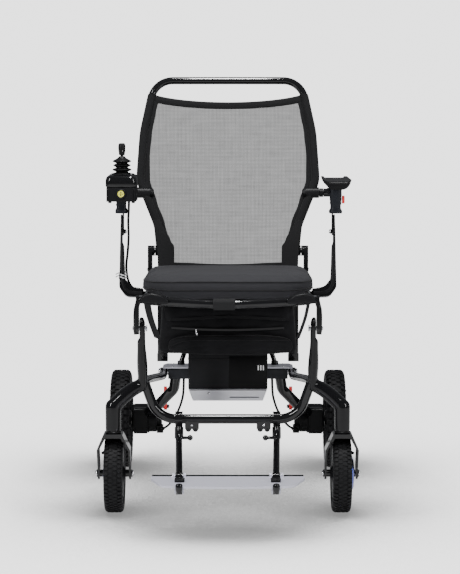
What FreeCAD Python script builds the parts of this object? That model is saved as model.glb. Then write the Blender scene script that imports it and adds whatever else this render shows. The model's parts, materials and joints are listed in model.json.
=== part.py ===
import FreeCAD, Part
import math
import os

from FreeCAD import Placement, Rotation, Vector

# Folding power wheelchair with a carbon front frame, modelled standing on its four wheels.
# Millimetres, +Z up, front of the chair towards -Y, origin on the ground at the centre of
# the chair's box.  "left" and "right" are the seated user's, so the left side is +X.

DIMENSIONS = {
    # casters
    "caster_radius": 90, "caster_width": 43, "caster_rim_radius": 64, "caster_x": 260,
    "caster_y": -190, "caster_trail": 40, "fork_half_width": 38, "fork_plate": 4.5,
    "fork_crown_top": 191.5, "stem_radius": 8, "caster_axle_radius": 5,
    "bearing_radius": 14, "bearing_height": 10, "housing_radius": 18, "housing_bottom": 193,
    # drive wheels and gear motors
    "drive_radius": 125, "drive_width": 50, "drive_rim_radius": 88, "drive_x": 273,
    "drive_y": 330, "drive_axle_radius": 8, "motor_radius": 37, "motor_inner_x": 182,
    "motor_outer_x": 245, "lever_width": 8, "lever_height": 50, "lever_pin_radius": 5,
    # front frame
    "crossbar_radius": 11, "crossbar_y": -200, "crossbar_z": 218, "side_arm_radius": 9.5,
    "hinge_y": -230, "hinge_z": 431, "hinge_bolt_radius": 5,
    # frame pivot and its casing
    "pivot_y": 125, "pivot_z": 278, "pivot_shaft_radius": 6, "casing_half_width": 162,
    "casing_depth": 60, "casing_bottom": 264, "casing_top": 293.5, "casing_wall": 2.5,
    "rear_tube_radius": 13, "rear_hub_radius": 11,
    # battery and tray
    "battery_width": 188, "battery_depth": 128, "battery_bottom": 261.3,
    "battery_height": 84.7, "battery_front_y": -40, "tray_top_width": 186,
    "tray_bottom_width": 166, "tray_height": 27, "tray_depth": 138,
    # seat
    "seat_tube_radius": 10, "seat_tube_x": 185, "seat_front_z": 493, "seat_rear_z": 477,
    "seat_rear_y": 245, "cross_tube_radius": 9, "cross_tube_y": 180, "cushion_width": 392,
    "cushion_depth": 420, "cushion_thickness": 42, "cushion_tilt": 1.9,
    "bag_width": 318, "bag_depth": 176, "bag_height": 120, "bag_bottom": 347.5,
    "bag_pocket_width": 290, "bag_pocket_height": 46,
    "prop_radius": 6, "post_x": 164, "post_width": 24, "post_thickness": 12,
    # backrest
    "back_pivot_y": 240, "back_pivot_z": 565, "back_lean": 13, "back_tube_radius": 9.2,
    "back_height": 433, "back_eye_radius": 13, "back_pin_radius": 6,
    # arm linkage
    "link_rise": 143, "link_reach": 33, "arm_x": 256, "arm_pivot_y": -70,
    "arm_pivot_z": 492, "blade_width": 22, "arm_tube_radius": 6.5,
    "arm_pin_radius": 6, "tang_pin_radius": 4, "pad_width": 64,
    "pad_bottom": 737,
    # joystick
    "joystick_x": 245, "joystick_y": -85, "case_width": 72, "case_depth": 100,
    "case_bottom": 711, "case_split": 743, "case_top": 771, "knob_radius": 8.5,
    "knob_top": 844, "boot_radius": 22.5, "boot_height": 42, "gimbal_radius": 16,
    "port_radius": 8.5, "lead_radius": 2.5,
    # footrest
    "leg_rest_x": 111.6, "leg_rest_radius": 7.5, "plate_half_width": 170,
    "plate_depth": 114, "plate_thickness": 5, "plate_z": 115, "plate_rear_y": -342,
    "roller_radius": 10, "motor_lead_radius": 3,
    # running clearance between a pin and the eye that turns on it
    "clearance": 0.3, "running_fit": 0.05,
}

SIDES = (("left", 1), ("right", -1))

doc = FreeCAD.newDocument("PowerWheelchair")
sheet = doc.addObject("Spreadsheet::Sheet", "Dimensions")
for row, (alias, value) in enumerate(DIMENSIONS.items(), start=1):
    sheet.set("A%d" % row, alias)
    sheet.set("B%d" % row, str(value))
    sheet.setAlias("B%d" % row, alias)
doc.recompute()

NODES = []


# ---------------------------------------------------------------------------
# helpers
# ---------------------------------------------------------------------------

def size(alias):
    """The value of one cell of the dimension sheet."""
    return float(sheet.get(alias))


def bind(feature, **expressions):
    """Bind properties of a feature to cells of the sheet."""
    for name, expression in expressions.items():
        feature.setExpression(name, expression)


def node(feature, label):
    """Mark a finished feature as one separate piece, written under its label."""
    feature.Label = label
    NODES.append(feature)
    return feature


def place(feature, position, rotation=None):
    feature.Placement = Placement(Vector(*position), rotation or Rotation())
    return feature


def towards(direction):
    """The rotation that turns +Z to a direction."""
    return Rotation(Vector(0, 0, 1), Vector(*direction))


ALONG_X = towards((1, 0, 0))
ALONG_Y = Rotation(Vector(1, 0, 0), -90)


def box(length, width, height, corner):
    """A block whose three sizes are numbers or sheet expressions."""
    feature = doc.addObject("Part::Box", "block")
    for name, value in (("Length", length), ("Width", width), ("Height", height)):
        if isinstance(value, str):
            bind(feature, **{name: value})
        else:
            setattr(feature, name, value)
    return place(feature, corner)


def cylinder(radius, height, base, rotation=None):
    """A round bar from its base centre, along +Z or a given rotation."""
    feature = doc.addObject("Part::Cylinder", "bar")
    for name, value in (("Radius", radius), ("Height", height)):
        if isinstance(value, str):
            bind(feature, **{name: value})
        else:
            setattr(feature, name, value)
    return place(feature, base, rotation)


def bar_along_x(radius, start_x, end_x, y, z):
    low, high = sorted((start_x, end_x))
    return cylinder(radius, high - low, (low, y, z), ALONG_X)


def ball(radius, centre):
    feature = doc.addObject("Part::Sphere", "ball")
    if isinstance(radius, str):
        bind(feature, Radius=radius)
    else:
        feature.Radius = radius
    return place(feature, centre)


def fuse(*pieces):
    feature = doc.addObject("Part::MultiFuse", "joined")
    feature.Shapes = list(pieces)
    return feature


def cut(base, *tools):
    """Take one or more tools away from a base."""
    feature = doc.addObject("Part::Cut", "trimmed")
    feature.Base = base
    feature.Tool = tools[0] if len(tools) == 1 else fuse(*tools)
    return feature


def common(first, second):
    feature = doc.addObject("Part::MultiCommon", "shared")
    feature.Shapes = [first, second]
    return feature


def fillet(base, radius, chosen):
    """Round the edges of a feature for which chosen(edge) is true."""
    doc.recompute()
    feature = doc.addObject("Part::Fillet", "rounded")
    feature.Base = base
    feature.Edges = [(index, radius, radius)
                     for index, edge in enumerate(base.Shape.Edges, start=1) if chosen(edge)]
    return feature


def along(axis):
    """A test for straight edges that run along one axis."""
    def test(edge):
        if not isinstance(edge.Curve, Part.Line):
            return False
        return abs(abs(edge.Curve.Direction.dot(Vector(*axis))) - 1) < 1e-6
    return test


def rounded_edges(points, radii, closed=False):
    """Straight runs between points, with a tangent arc of its own radius at each corner."""
    points = [Vector(*point) if len(point) == 3 else Vector(point[0], point[1], 0)
              for point in points]
    count = len(points)
    if not isinstance(radii, (list, tuple)):
        radii = [radii] * count
    entries, exits, arcs = [], [], []
    for index, point in enumerate(points):
        radius = radii[index]
        if radius == 0 or (not closed and index in (0, count - 1)):
            entries.append(point)
            exits.append(point)
            arcs.append(None)
            continue
        back = (points[index - 1] - point).normalize()
        ahead = (points[(index + 1) % count] - point).normalize()
        half = back.getAngle(ahead) / 2
        setback = radius / math.tan(half)
        bisector = (back + ahead).normalize()
        middle = point + bisector * (radius / math.sin(half) - radius)
        entries.append(point + back * setback)
        exits.append(point + ahead * setback)
        arcs.append(Part.Arc(entries[-1], middle, exits[-1]))
    edges = []
    for index in range(count):
        if arcs[index]:
            edges.append(arcs[index])
        follower = (index + 1) % count
        last = index == count - 1
        if (closed or not last) and (entries[follower] - exits[index]).Length > 1e-6:
            edges.append(Part.LineSegment(exits[index], entries[follower]))
    return edges


def path_feature(points, radii):
    feature = doc.addObject("Part::Feature", "path")
    feature.Shape = Part.Wire([edge.toShape() for edge in rounded_edges(points, radii)])
    return feature


def tube(points, bend, radius):
    """A bar swept along straight runs and arcs."""
    path = path_feature(points, bend)
    start, following = Vector(*points[0]), Vector(*points[1])
    ring = doc.addObject("Part::Circle", "ring")
    bind(ring, Radius=radius)
    ring.Placement = Placement(start, towards(following - start))
    sweep = doc.addObject("Part::Sweep", "tube")
    sweep.Sections = [ring]
    sweep.Spine = (path, ["Edge%d" % (i + 1) for i in range(len(path.Shape.Edges))])
    sweep.Solid = True
    sweep.Frenet = False
    return sweep


def lead(points, radius):
    """A cable: each bend's radius is 0.45 of its shorter run over the tangent of half the turn."""
    radii = []
    for before, point, after in zip(points, points[1:], points[2:]):
        back = Vector(*before) - Vector(*point)
        ahead = Vector(*after) - Vector(*point)
        half_turn = (math.pi - back.getAngle(ahead)) / 2
        radii.append(0.45 * min(back.Length, ahead.Length) / math.tan(half_turn))
    print("lead radii", [round(value) for value in radii])
    return tube(points, [0] + radii + [0], radius)


def limb(stations):
    """A loft through ellipses: each station is centre, normal, depth along Y, width."""
    rings = []
    for centre, normal, depth, width in stations:
        ring = doc.addObject("Part::Ellipse", "ring")
        ring.MajorRadius = depth
        ring.MinorRadius = width
        normal = Vector(*normal).normalize()
        across = Vector(0, 1, 0).cross(normal).normalize()
        ring.Placement = Placement(Vector(*centre),
                                   Rotation(normal.cross(across), -across, normal, "ZXY"))
        rings.append(ring)
    loft = doc.addObject("Part::Loft", "limb")
    loft.Sections = rings
    loft.Solid = True
    return loft


PLANES = {"front": "XZ_Plane", "side": "YZ_Plane", "top": "XY_Plane"}


def outline(body, view, points, radii):
    """A closed sketch on one of the body's own planes."""
    sketch = body.newObject("Sketcher::SketchObject", "outline")
    origin = body.Origin.OriginFeatures
    plane = next(feature for feature in origin if feature.Role == PLANES[view])
    sketch.AttachmentSupport = [(plane, "")]
    sketch.MapMode = "FlatFace"
    sketch.addGeometry(rounded_edges(points, radii, closed=True), False)
    return sketch


def padded(view, points, radii, length):
    """A body extruded both ways from a closed outline in the front, side or top view."""
    body = doc.addObject("PartDesign::Body", "body")
    sketch = outline(body, view, points, radii)
    pad = body.newObject("PartDesign::Pad", "pad")
    pad.Profile = sketch
    pad.SideType = "Symmetric"
    if isinstance(length, str):
        bind(pad, Length=length)
    else:
        pad.Length = length
    body.Tip = pad
    return body


def turned(points, radii, centre, axis="x"):
    """A body of revolution.  Its outline gives (axial, radius) points for an axis along X,
    or (radius, height) points for an upright axis."""
    body = doc.addObject("PartDesign::Body", "body")
    sketch = outline(body, "front", points, radii)
    turn = body.newObject("PartDesign::Revolution", "turn")
    turn.Profile = sketch
    turn.ReferenceAxis = (sketch, ["H_Axis" if axis == "x" else "V_Axis"])
    turn.Angle = 360
    body.Tip = turn
    return place(body, centre)


def mirrored(points, side):
    """An outline drawn for the left side, or its mirror image for the right."""
    return [(side * point[0], point[1]) for point in points]


# ---------------------------------------------------------------------------
# places shared by several pieces
# ---------------------------------------------------------------------------

PIVOT = Vector(0, size("pivot_y"), size("pivot_z"))
BACK_PIVOT = Vector(0, size("back_pivot_y"), size("back_pivot_z"))
LEAN = math.radians(size("back_lean"))
UP_BACK = Vector(0, math.sin(LEAN), math.cos(LEAN))
LINK = Vector(0, size("link_reach"), size("link_rise"))
BACK_LINK_PIN = BACK_PIVOT + LINK
ARM_PIVOT = Vector(0, size("arm_pivot_y"), size("arm_pivot_z"))
ARM_LINK_PIN = ARM_PIVOT + LINK
ARM_X = size("arm_x")
LEAD_EXIT = Vector(-231, -50, size("case_bottom"))
FIT = size("running_fit")
GAP = size("clearance")


def on_back(x, rise):
    """A point in the plane of the backrest, a distance up it from its pivots."""
    point = BACK_PIVOT + UP_BACK * rise
    return (x, point.y, point.z)


# ---------------------------------------------------------------------------
# wheels
# ---------------------------------------------------------------------------

def tyre(label, radius, rim_radius, width, centre):
    half, shoulder = width / 2, width * 0.28
    sidewall = radius - width * 0.26
    profile = [(-half, rim_radius), (half, rim_radius), (half, sidewall), (shoulder, radius),
               (-shoulder, radius), (-half, sidewall)]
    round_over = width * 0.16
    node(turned(profile, [0, 0] + [round_over] * 4, centre), label)


def caster_rim(label, side, centre):
    """Cast rim whose outer face is a raised disc with six lightening holes."""
    bore, edge = size("caster_axle_radius") + FIT, size("caster_rim_radius")
    disc_radius, disc_face, hole_circle, hole_radius, holes = 44, 22.5, 30, 6.5, 6
    profile = [(-24, bore), (25, bore), (25, 12), (disc_face, 14), (disc_face, 38),
               (17, disc_radius), (9, 52), (17, 58), (17, edge), (-17, edge), (-17, 58),
               (-4, 52), (-4, 20), (-24, 13)]
    rim = turned(mirrored(profile, side), [0, 0, 0, 0, 3, 3, 2, 0, 0, 0, 0, 2, 4, 1], centre)
    drills = []
    for index in range(holes):
        angle = 2 * math.pi * index / holes
        y = centre[1] + hole_circle * math.cos(angle)
        z = centre[2] + hole_circle * math.sin(angle)
        drills.append(bar_along_x(hole_radius, centre[0] - 30, centre[0] + 30, y, z))
    node(cut(rim, *drills), label)


def caster_axle(centre):
    """Through bolt with flush heads and the two spacers between fork and hub."""
    shank, head, spacer = size("caster_axle_radius"), 9, 8.5
    outer, plate = size("fork_half_width"), size("fork_half_width") - size("fork_plate")
    hub_gap, head_face = 25.4, outer + 2.4
    half = [(hub_gap, shank), (hub_gap, spacer), (plate - GAP, spacer), (plate - GAP, shank),
            (outer + GAP, shank), (outer + GAP, head), (head_face, head), (head_face, 0)]
    profile = [(-x, r) for x, r in reversed(half)] + half
    return turned(profile, 0, centre)


def caster_fork(label, side):
    """Fork with flared flat blades and its upright stem, and the axle bolt it carries."""
    x, y, axle_z = side * size("caster_x"), size("caster_y"), size("caster_radius")
    stem_y, top = y - size("caster_trail"), size("fork_crown_top")
    outer, plate = size("fork_half_width"), size("fork_plate")
    inner, crown, knee, foot, under = outer - plate, 21, 152, 76, 182
    front = [(-outer, foot), (-inner, foot), (-inner, knee - 1.5), (-crown + 3.5, under),
             (crown - 3.5, under), (inner, knee - 1.5), (inner, foot), (outer, foot),
             (outer, knee), (crown, top), (-crown, top), (-outer, knee)]
    across = padded("front", front, [0, 0, 4, 3, 3, 4, 0, 0, 6, 3, 3, 6], 120)
    place(across, (x, (y + stem_y) / 2, 0))
    profile = [(stem_y - 22, top + 1), (stem_y - 22, 176), (y - 14, 98), (y - 14, foot),
               (y + 14, foot), (y + 14, 102), (stem_y + 24, top + 1)]
    lengthways = padded("side", profile, [0, 12, 30, 13.5, 13.5, 30, 0], 100)
    place(lengthways, (x, 0, 0))
    blades = common(across, lengthways)
    hole = bar_along_x(size("caster_axle_radius") + GAP / 2, x - 60, x + 60, y, axle_z)
    stem_length = size("housing_bottom") + 54 - under
    stem = cylinder("Dimensions.stem_radius", stem_length, (x, stem_y, under))
    node(fuse(cut(blades, hole), stem, caster_axle((x, y, axle_z))), label)


def caster_bearings():
    """Upper and lower stem bearing of both caster housings."""
    rings = []
    y = size("caster_y") - size("caster_trail")
    bore = size("stem_radius") + FIT
    for _, side in SIDES:
        for z in (size("housing_bottom") + 2, size("housing_bottom") + 42):
            centre = (side * size("caster_x"), y, z)
            ring = cylinder("Dimensions.bearing_radius - 0.1", "Dimensions.bearing_height", centre)
            rings.append(cut(ring, cylinder(bore, 12, (centre[0], y, z - 1))))
    node(fuse(*rings), "caster_bearings")


def drive_rim(label, side, centre):
    """Rim with a dished web, ten round windows and a hub that turns on the motor axle."""
    bore, edge = size("drive_axle_radius") + FIT, size("drive_rim_radius")
    hole_circle, hole_radius, holes = 54, 12, 8
    profile = [(-24.5, bore), (19.5, bore), (19.5, 24), (12, 28), (8, 72), (20, 80),
               (20, edge), (-20, edge), (-20, 80), (0, 72), (4, 30), (-24.5, 20)]
    rim = turned(mirrored(profile, side), [0, 0, 3, 4, 4, 0, 0, 0, 0, 4, 4, 1], centre)
    drills = []
    for index in range(holes):
        angle = 2 * math.pi * (index + 0.5) / holes
        y = centre[1] + hole_circle * math.cos(angle)
        z = centre[2] + hole_circle * math.sin(angle)
        drills.append(bar_along_x(hole_radius, centre[0] - 30, centre[0] + 30, y, z))
    node(cut(rim, *drills), label)


def wheels():
    for name, side in SIDES:
        caster = (side * size("caster_x"), size("caster_y"), size("caster_radius"))
        tyre("caster_tyre_" + name, size("caster_radius"), size("caster_rim_radius"),
             size("caster_width"), caster)
        caster_rim("caster_rim_" + name, side, caster)
        caster_fork("caster_fork_" + name, side)
        drive = (side * size("drive_x"), size("drive_y"), size("drive_radius"))
        tyre("drive_tyre_" + name, size("drive_radius"), size("drive_rim_radius"),
             size("drive_width"), drive)
        drive_rim("drive_rim_" + name, side, drive)
    caster_bearings()


# ---------------------------------------------------------------------------
# front frame, casing and battery tray
# ---------------------------------------------------------------------------

def front_leg(label, side, *bars):
    """Moulded carbon leg: upright, wing arm and caster housing in one piece, with the
    sockets that the frame's bars are bonded into."""
    stem_y = size("caster_y") - size("caster_trail")
    upright = limb([((side * 193.0, -212, 290), (0, 0, 1), 22, 12),
                    ((side * 193.3, -214, 312), (0, 0, 1), 21, 10.8),
                    ((side * 194.8, -221, 370), (0, 0, 1), 19, 10.7),
                    ((side * 196.3, -229, 425), (0, 0, 1), 16.5, 10.3),
                    ((side * 196.8, -231, 450), (0, 0, 1), 13, 9),
                    ((side * 197.0, -231, 457), (0, 0, 1), 9, 6)])
    wing = limb([((side * 192, -211, 299), (side * 0.93, 0, -0.36), 21, 15),
                 ((side * 212, -214, 291), (side * 0.88, 0, -0.48), 20.5, 16),
                 ((side * 234, -221, 276), (side * 0.80, 0, -0.60), 19.5, 17),
                 ((side * 256, -228, 256), (side * 0.60, 0, -0.80), 18, 17)])
    x, radius, bottom = side * size("caster_x"), size("housing_radius"), size("housing_bottom")
    shoulder = 252
    barrel = cylinder("Dimensions.housing_radius", shoulder - bottom, (x, stem_y, bottom))
    cap = ball(radius, (x, stem_y, shoulder))
    bore = cylinder("Dimensions.bearing_radius", 56, (x, stem_y, bottom - 1))
    # flat on the outside of the leg's top for the seat bracket, and the hinge bolt's hole
    flat_face, flat_length = 199.2, 20
    flat_start = flat_face if side > 0 else -flat_face - flat_length
    flat = box(flat_length, 70, 60, (flat_start, stem_y - 35, 405))
    hole = bar_along_x(size("hinge_bolt_radius") + FIT, side * 170, side * 220,
                       size("hinge_y"), size("hinge_z"))
    node(cut(fuse(upright, wing, barrel, cap), bore, flat, hole, *bars), label)


def hinge_bolts():
    """The two bolts on which the seat tips: head outside, nut inside."""
    bolts = []
    shank, head, y, z = size("hinge_bolt_radius"), 8.5, size("hinge_y"), size("hinge_z")
    for _, side in SIDES:
        bolts.append(fuse(bar_along_x(shank, side * 184, side * 208.2, y, z),
                          bar_along_x(head, side * 208.2, side * 213, y, z),
                          bar_along_x(head - 1.5, side * 182, side * 185, y, z)))
    node(fuse(*bolts), "hinge_bolts")


def side_arm(label, side):
    """Arm from the front leg back to the pivot shaft, ending in an eye."""
    run = [(side * 193.6, -195, 302.4), (side * 183, -120, 298), (side * 157, 48, 279),
           (side * 157, 116, 277.5)]
    arm = tube(run, [0, 160, 110, 0], "Dimensions.side_arm_radius")
    eye = bar_along_x(10, side * 149, side * 165, PIVOT.y, PIVOT.z)
    bore = bar_along_x(size("pivot_shaft_radius") + FIT, side * 140, side * 175,
                       PIVOT.y, PIVOT.z)
    return node(cut(fuse(arm, eye), bore), label)


def footrest_catch(side):
    """Saddle block with two round stops, welded under one end of the crossbar."""
    y, z = size("crossbar_y"), size("crossbar_z")
    block = fillet(box(32, 18, 17, (min(side * 66, side * 98), y - 9, z - 22)), 2,
                   along((0, 0, 1)))
    return [block] + [ball(6.5, (side * x, y - 3, z - 23)) for x in (74, 90)]


def crossbar():
    """U-shaped bar low between the legs; it carries the footrest."""
    y, z = size("crossbar_y"), size("crossbar_z")
    run = [(-189, y - 9, 303), (-160, y, z), (160, y, z), (189, y - 9, 303)]
    bar = tube(run, 60, "Dimensions.crossbar_radius")
    return node(fuse(bar, *footrest_catch(1), *footrest_catch(-1)), "front_crossbar")


def casing():
    """Flat casing across the pivot shaft: lower shell, cover and controller board."""
    wall, depth = size("casing_wall"), size("casing_depth")
    front, bottom = PIVOT.y - depth / 2, size("casing_bottom")
    lid_bottom, half = size("casing_top") - 4, 146
    shell = fillet(box(2 * half, depth, lid_bottom - bottom - 0.1, (-half, front, bottom)), 5,
                   along((0, 0, 1)))
    room = box(2 * (half - wall), depth - 2 * wall, 40,
               (-half + wall, front + wall, bottom + wall))
    shaft_hole = bar_along_x(size("pivot_shaft_radius") + 0.2, -170, 170, PIVOT.y, PIVOT.z)
    slots = [box(39, 60, 40, (min(side * 104, side * 143), front + 8, bottom - 5))
             for _, side in SIDES]
    node(cut(shell, room, shaft_hole, *slots), "controller_housing")

    top, edge = size("casing_top"), size("casing_half_width")
    lid = padded("front", [(-edge, lid_bottom), (edge, lid_bottom), (edge - 12, top),
                           (12 - edge, top)], [0.5, 0.5, 3, 3], "Dimensions.casing_depth")
    place(lid, (0, PIVOT.y, 0))
    node(lid, "controller_cover")

    board_z = bottom + wall + 1.5
    board = box(190, 48, 1.6, (-95, PIVOT.y - 24, board_z))
    posts = [cylinder(3, 1.5, (x, PIVOT.y + y, bottom + wall)) for x in (-88, 88)
             for y in (-18, 18)]
    heat_sink = box(90, 12, 14, (-30, PIVOT.y + 10, board_z + 1.6))
    capacitors = [cylinder(5, 13, (x, PIVOT.y - 15, board_z + 1.6)) for x in (-70, -56, -42)]
    connector = box(24, 9, 10, (40, PIVOT.y - 21, board_z + 1.6))
    node(fuse(board, heat_sink, connector, *posts, *capacitors), "controller_board")


def pivot_shaft():
    shaft = bar_along_x(size("pivot_shaft_radius"), -166, 166, PIVOT.y, PIVOT.z)
    node(shaft, "pivot_shaft")


def battery_and_tray():
    """Battery pack on a tapered aluminium tray that is bolted under the casing."""
    depth, top = size("tray_depth"), size("battery_bottom") - GAP
    half_top, half_bottom = size("tray_top_width") / 2, size("tray_bottom_width") / 2
    low = top - size("tray_height")
    wedge = padded("front", [(-half_top, top), (half_top, top), (half_bottom, low),
                             (-half_bottom, low)], [0, 0, 3, 3], "Dimensions.tray_depth")
    front = size("battery_front_y") - 5
    place(wedge, (0, front + depth / 2, 0))
    tongue = box(120, 62, 4, (-60, front + depth - 4, size("casing_bottom") - 4.2))
    slot = box(70, 14, 3, (4, front - 1, low + 6.5))
    node(cut(fuse(wedge, tongue), slot), "battery_tray")

    pack = box("Dimensions.battery_width", "Dimensions.battery_depth", "Dimensions.battery_height",
               (-size("battery_width") / 2, size("battery_front_y"), size("battery_bottom")))
    upright = fillet(pack, 6, along((0, 0, 1)))
    node(fillet(upright, 2.5, lambda edge: edge.CenterOfMass.z > size("battery_bottom")
                + size("battery_height") - 0.1), "battery_pack")


# ---------------------------------------------------------------------------
# rear frame and drive
# ---------------------------------------------------------------------------

def rear_tube(label, side):
    """Curved tube from an eye on the pivot shaft down to the gear motor."""
    run = [(side * 127, PIVOT.y + 5, PIVOT.z - 5), (side * 134, 178, 226),
           (side * 176, 232, 176), (side * 206, 300, 144)]
    arm = tube(run, [0, 60, 60, 0], "Dimensions.rear_tube_radius")
    eye = bar_along_x(size("rear_hub_radius"), side * 113, side * 141, PIVOT.y, PIVOT.z)
    bore = bar_along_x(size("pivot_shaft_radius") + FIT, side * 100, side * 160,
                       PIVOT.y, PIVOT.z)
    return node(cut(fuse(arm, eye), bore), label)


def drive_motor(label, side, arm, leads):
    """Gear motor with a finned can, its wheel axle and the pin of the freewheel lever."""
    inner, outer, radius = size("motor_inner_x"), size("motor_outer_x"), size("motor_radius")
    shaft, nut, tip = size("drive_axle_radius"), 13, 297
    rib = 2.5
    profile = [(inner - 12, 0), (inner - 12, 24), (inner, 30), (inner + 2, radius - rib),
               (inner + 20, radius - rib), (inner + 20, radius), (outer - 4, radius),
               (outer, radius - 4), (outer, 14), (outer + 2, 14), (outer + 2, shaft),
               (293, shaft), (293, nut), (tip, nut), (tip + 1.5, nut - 2), (tip + 1.5, 0)]
    centre = (0, size("drive_y"), size("drive_radius"))
    can = turned(mirrored(profile, side), 0, centre)
    flange = fillet(box(34, 84, 66, (min(side * 206, side * 240), 284, 92)), 8,
                    along((1, 0, 0)))
    socket = box(16, 30, 18, (min(side * 166, side * 182), 300, 92))
    pin = bar_along_x(size("lever_pin_radius"), side * 152, side * 190, 318, 158)
    block = box(16, 26, 26, (min(side * 172, side * 188), 305, 140))
    node(cut(fuse(can, flange, socket, pin, block), arm, leads), label)


def freewheel_lever(label, side):
    """Red lever that unlocks the motor: a hub with a tapered grip."""
    width, y, z = size("lever_width"), 318, 158
    profile = [(y - 9, z - 9), (y + 9, z - 9), (y + 8, z + 8), (y + 3, z + size("lever_height")),
               (y - 9, z + size("lever_height") + 4)]
    grip = place(padded("side", profile, [8.5, 8.5, 6, 4, 4], "Dimensions.lever_width"),
                 (side * (156 + width / 2), 0, 0))
    bore = bar_along_x(size("lever_pin_radius") + FIT, side * 150, side * 170, y, z)
    node(cut(grip, bore), label)


def motor_leads():
    """Motor cable of each side, looping down from the pivot eye to the motor's socket."""
    leads = []
    for _, side in SIDES:
        run = [(side * 108.5, 131, 262), (side * 109, 150, 222), (side * 116, 184, 190),
               (side * 126, 222, 160), (side * 141, 258, 130), (side * 160, 286, 107),
               (side * 174, 303, 101)]
        leads.append(lead(run, "Dimensions.motor_lead_radius"))
    return node(fuse(*leads), "motor_leads")


# ---------------------------------------------------------------------------
# seat
# ---------------------------------------------------------------------------

def rail_height(y):
    """Height of the sloping side rails of the seat."""
    front_y, rear_y = size("hinge_y"), size("seat_rear_y")
    front_z, rear_z = size("seat_front_z"), size("seat_rear_z")
    return front_z + (rear_z - front_z) * (y - front_y) / (rear_y - front_y)


def seat_frame():
    """Welded seat frame: bowed tube, cross tube, hinge plates and the arm pivots' pins."""
    x, rear_y = size("seat_tube_x"), size("seat_rear_y")
    corner_y, bow_y, bow_z = size("hinge_y") - 4, -256, 487
    run = [(-x, rear_y, rail_height(rear_y)), (-x - 2, corner_y, size("seat_front_z") + 1),
           (0, bow_y, bow_z), (x + 2, corner_y, size("seat_front_z") + 1),
           (x, rear_y, rail_height(rear_y))]
    hoop = tube(run, [0, 40, 420, 40, 0], "Dimensions.seat_tube_radius")
    cross_y = size("cross_tube_y")
    cross = bar_along_x(size("cross_tube_radius"), -x, x, cross_y, rail_height(cross_y))
    pieces = [hoop, cross]
    hinge_y, hinge_z = size("hinge_y"), size("hinge_z")
    for _, side in SIDES:
        profile = [(hinge_y - 14, hinge_z - 14), (hinge_y + 14, hinge_z - 14),
                   (hinge_y + 17, 504), (hinge_y - 13, 506)]
        plate = place(padded("side", profile, [13.5, 13.5, 8, 8], 6.5),
                      (side * 203.6, 0, 0))
        hole = bar_along_x(size("hinge_bolt_radius") + GAP, side * 196, side * 214,
                           hinge_y, hinge_z)
        boss = box(20, 22, 15, (min(side * 186, side * 206), hinge_y - 8, 489))
        pin = bar_along_x(size("arm_pin_radius"), side * 186, side * 215,
                          ARM_PIVOT.y, ARM_PIVOT.z)
        pieces += [cut(plate, hole), boss, pin, stand_post(side)]
    return node(fuse(*pieces), "seat_frame")


def seat_cushion():
    """Upholstered cushion with a rounded front, lying on the sloping rails."""
    half, depth = size("cushion_width") / 2, size("cushion_depth")
    profile = [(-half, depth / 2), (half, depth / 2), (half, -depth / 2 + 60),
               (half * 0.72, -depth / 2), (-half * 0.72, -depth / 2), (-half, -depth / 2 + 60)]
    pad = padded("top", profile, [35, 35, 90, 90, 90, 90], "Dimensions.cushion_thickness")
    rise = size("seat_tube_radius") + 1.5 + size("cushion_thickness") / 2
    place(pad, (0, 0, rail_height(0) + rise),
          Rotation(Vector(1, 0, 0), -size("cushion_tilt")))
    node(pad, "seat_cushion")


def back_bracket(label, side, rails):
    """Bracket from the rear of a rail up to the backrest pivot, with its pivot pin."""
    pivot_y, pivot_z = BACK_PIVOT.y, BACK_PIVOT.z
    upright = place(padded("side", [(pivot_y - 13, 466), (pivot_y + 13, 466),
                                    (pivot_y + 13, pivot_z + 13), (pivot_y - 13, pivot_z + 13)],
                           [4, 4, 12.9, 12.9], 11), (side * 194.5, 0, 0))
    boss = bar_along_x(size("back_eye_radius"), side * 183, side * 192, pivot_y, pivot_z)
    pin = bar_along_x(size("back_pin_radius"), side * 153, side * 192, pivot_y, pivot_z)
    head = bar_along_x(9, side * 150, side * 157.6, pivot_y, pivot_z)
    node(cut(fuse(upright, boss, pin, head), rails), label)


def stand_post(side):
    """Flat post welded under the rear of the seat, with a thicker foot."""
    width, thickness = size("post_width"), size("post_thickness")
    x, y, foot, top = side * size("post_x"), 232, 288, rail_height(232) + 6
    post = box("Dimensions.post_width", "Dimensions.post_thickness", top - foot,
               (x - width / 2, y - thickness / 2, foot))
    end = fillet(box(width + 3, thickness + 3, 19, (x - width / 2 - 1.5,
                                                    y - thickness / 2 - 1.5, foot)), 2,
                 along((0, 0, 1)))
    return fuse(post, end)


def seat_prop(rails):
    """A-shaped prop under the seat whose rubber feet stand on the casing."""
    foot_z, top_z, foot_y = size("casing_top") + 0.8, rail_height(180) - 14.4, PIVOT.y + 12
    run = [(-115, foot_y, foot_z + 5), (-58, 180, top_z), (58, 180, top_z),
           (115, foot_y, foot_z + 5)]
    strut = tube(run, 22, "Dimensions.prop_radius")
    feet = [cylinder(9, 8, (side * 115, foot_y, foot_z)) for _, side in SIDES]
    node(cut(fuse(strut, *feet), rails), "seat_prop")


def storage_bag():
    bag = box("Dimensions.bag_width", "Dimensions.bag_depth", "Dimensions.bag_height",
              (-size("bag_width") / 2, -70, size("bag_bottom")))
    bag = fillet(fillet(bag, 22, along((0, 0, 1))), 12,
                 lambda edge: edge.CenterOfMass.z < size("bag_bottom") + 0.1)
    pocket = box("Dimensions.bag_pocket_width", 50, "Dimensions.bag_pocket_height",
                 (-size("bag_pocket_width") / 2 + 6, -92, size("bag_bottom") + 1))
    node(fuse(bag, fillet(pocket, 9, lambda edge: True)), "storage_bag")


# ---------------------------------------------------------------------------
# backrest
# ---------------------------------------------------------------------------

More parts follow.
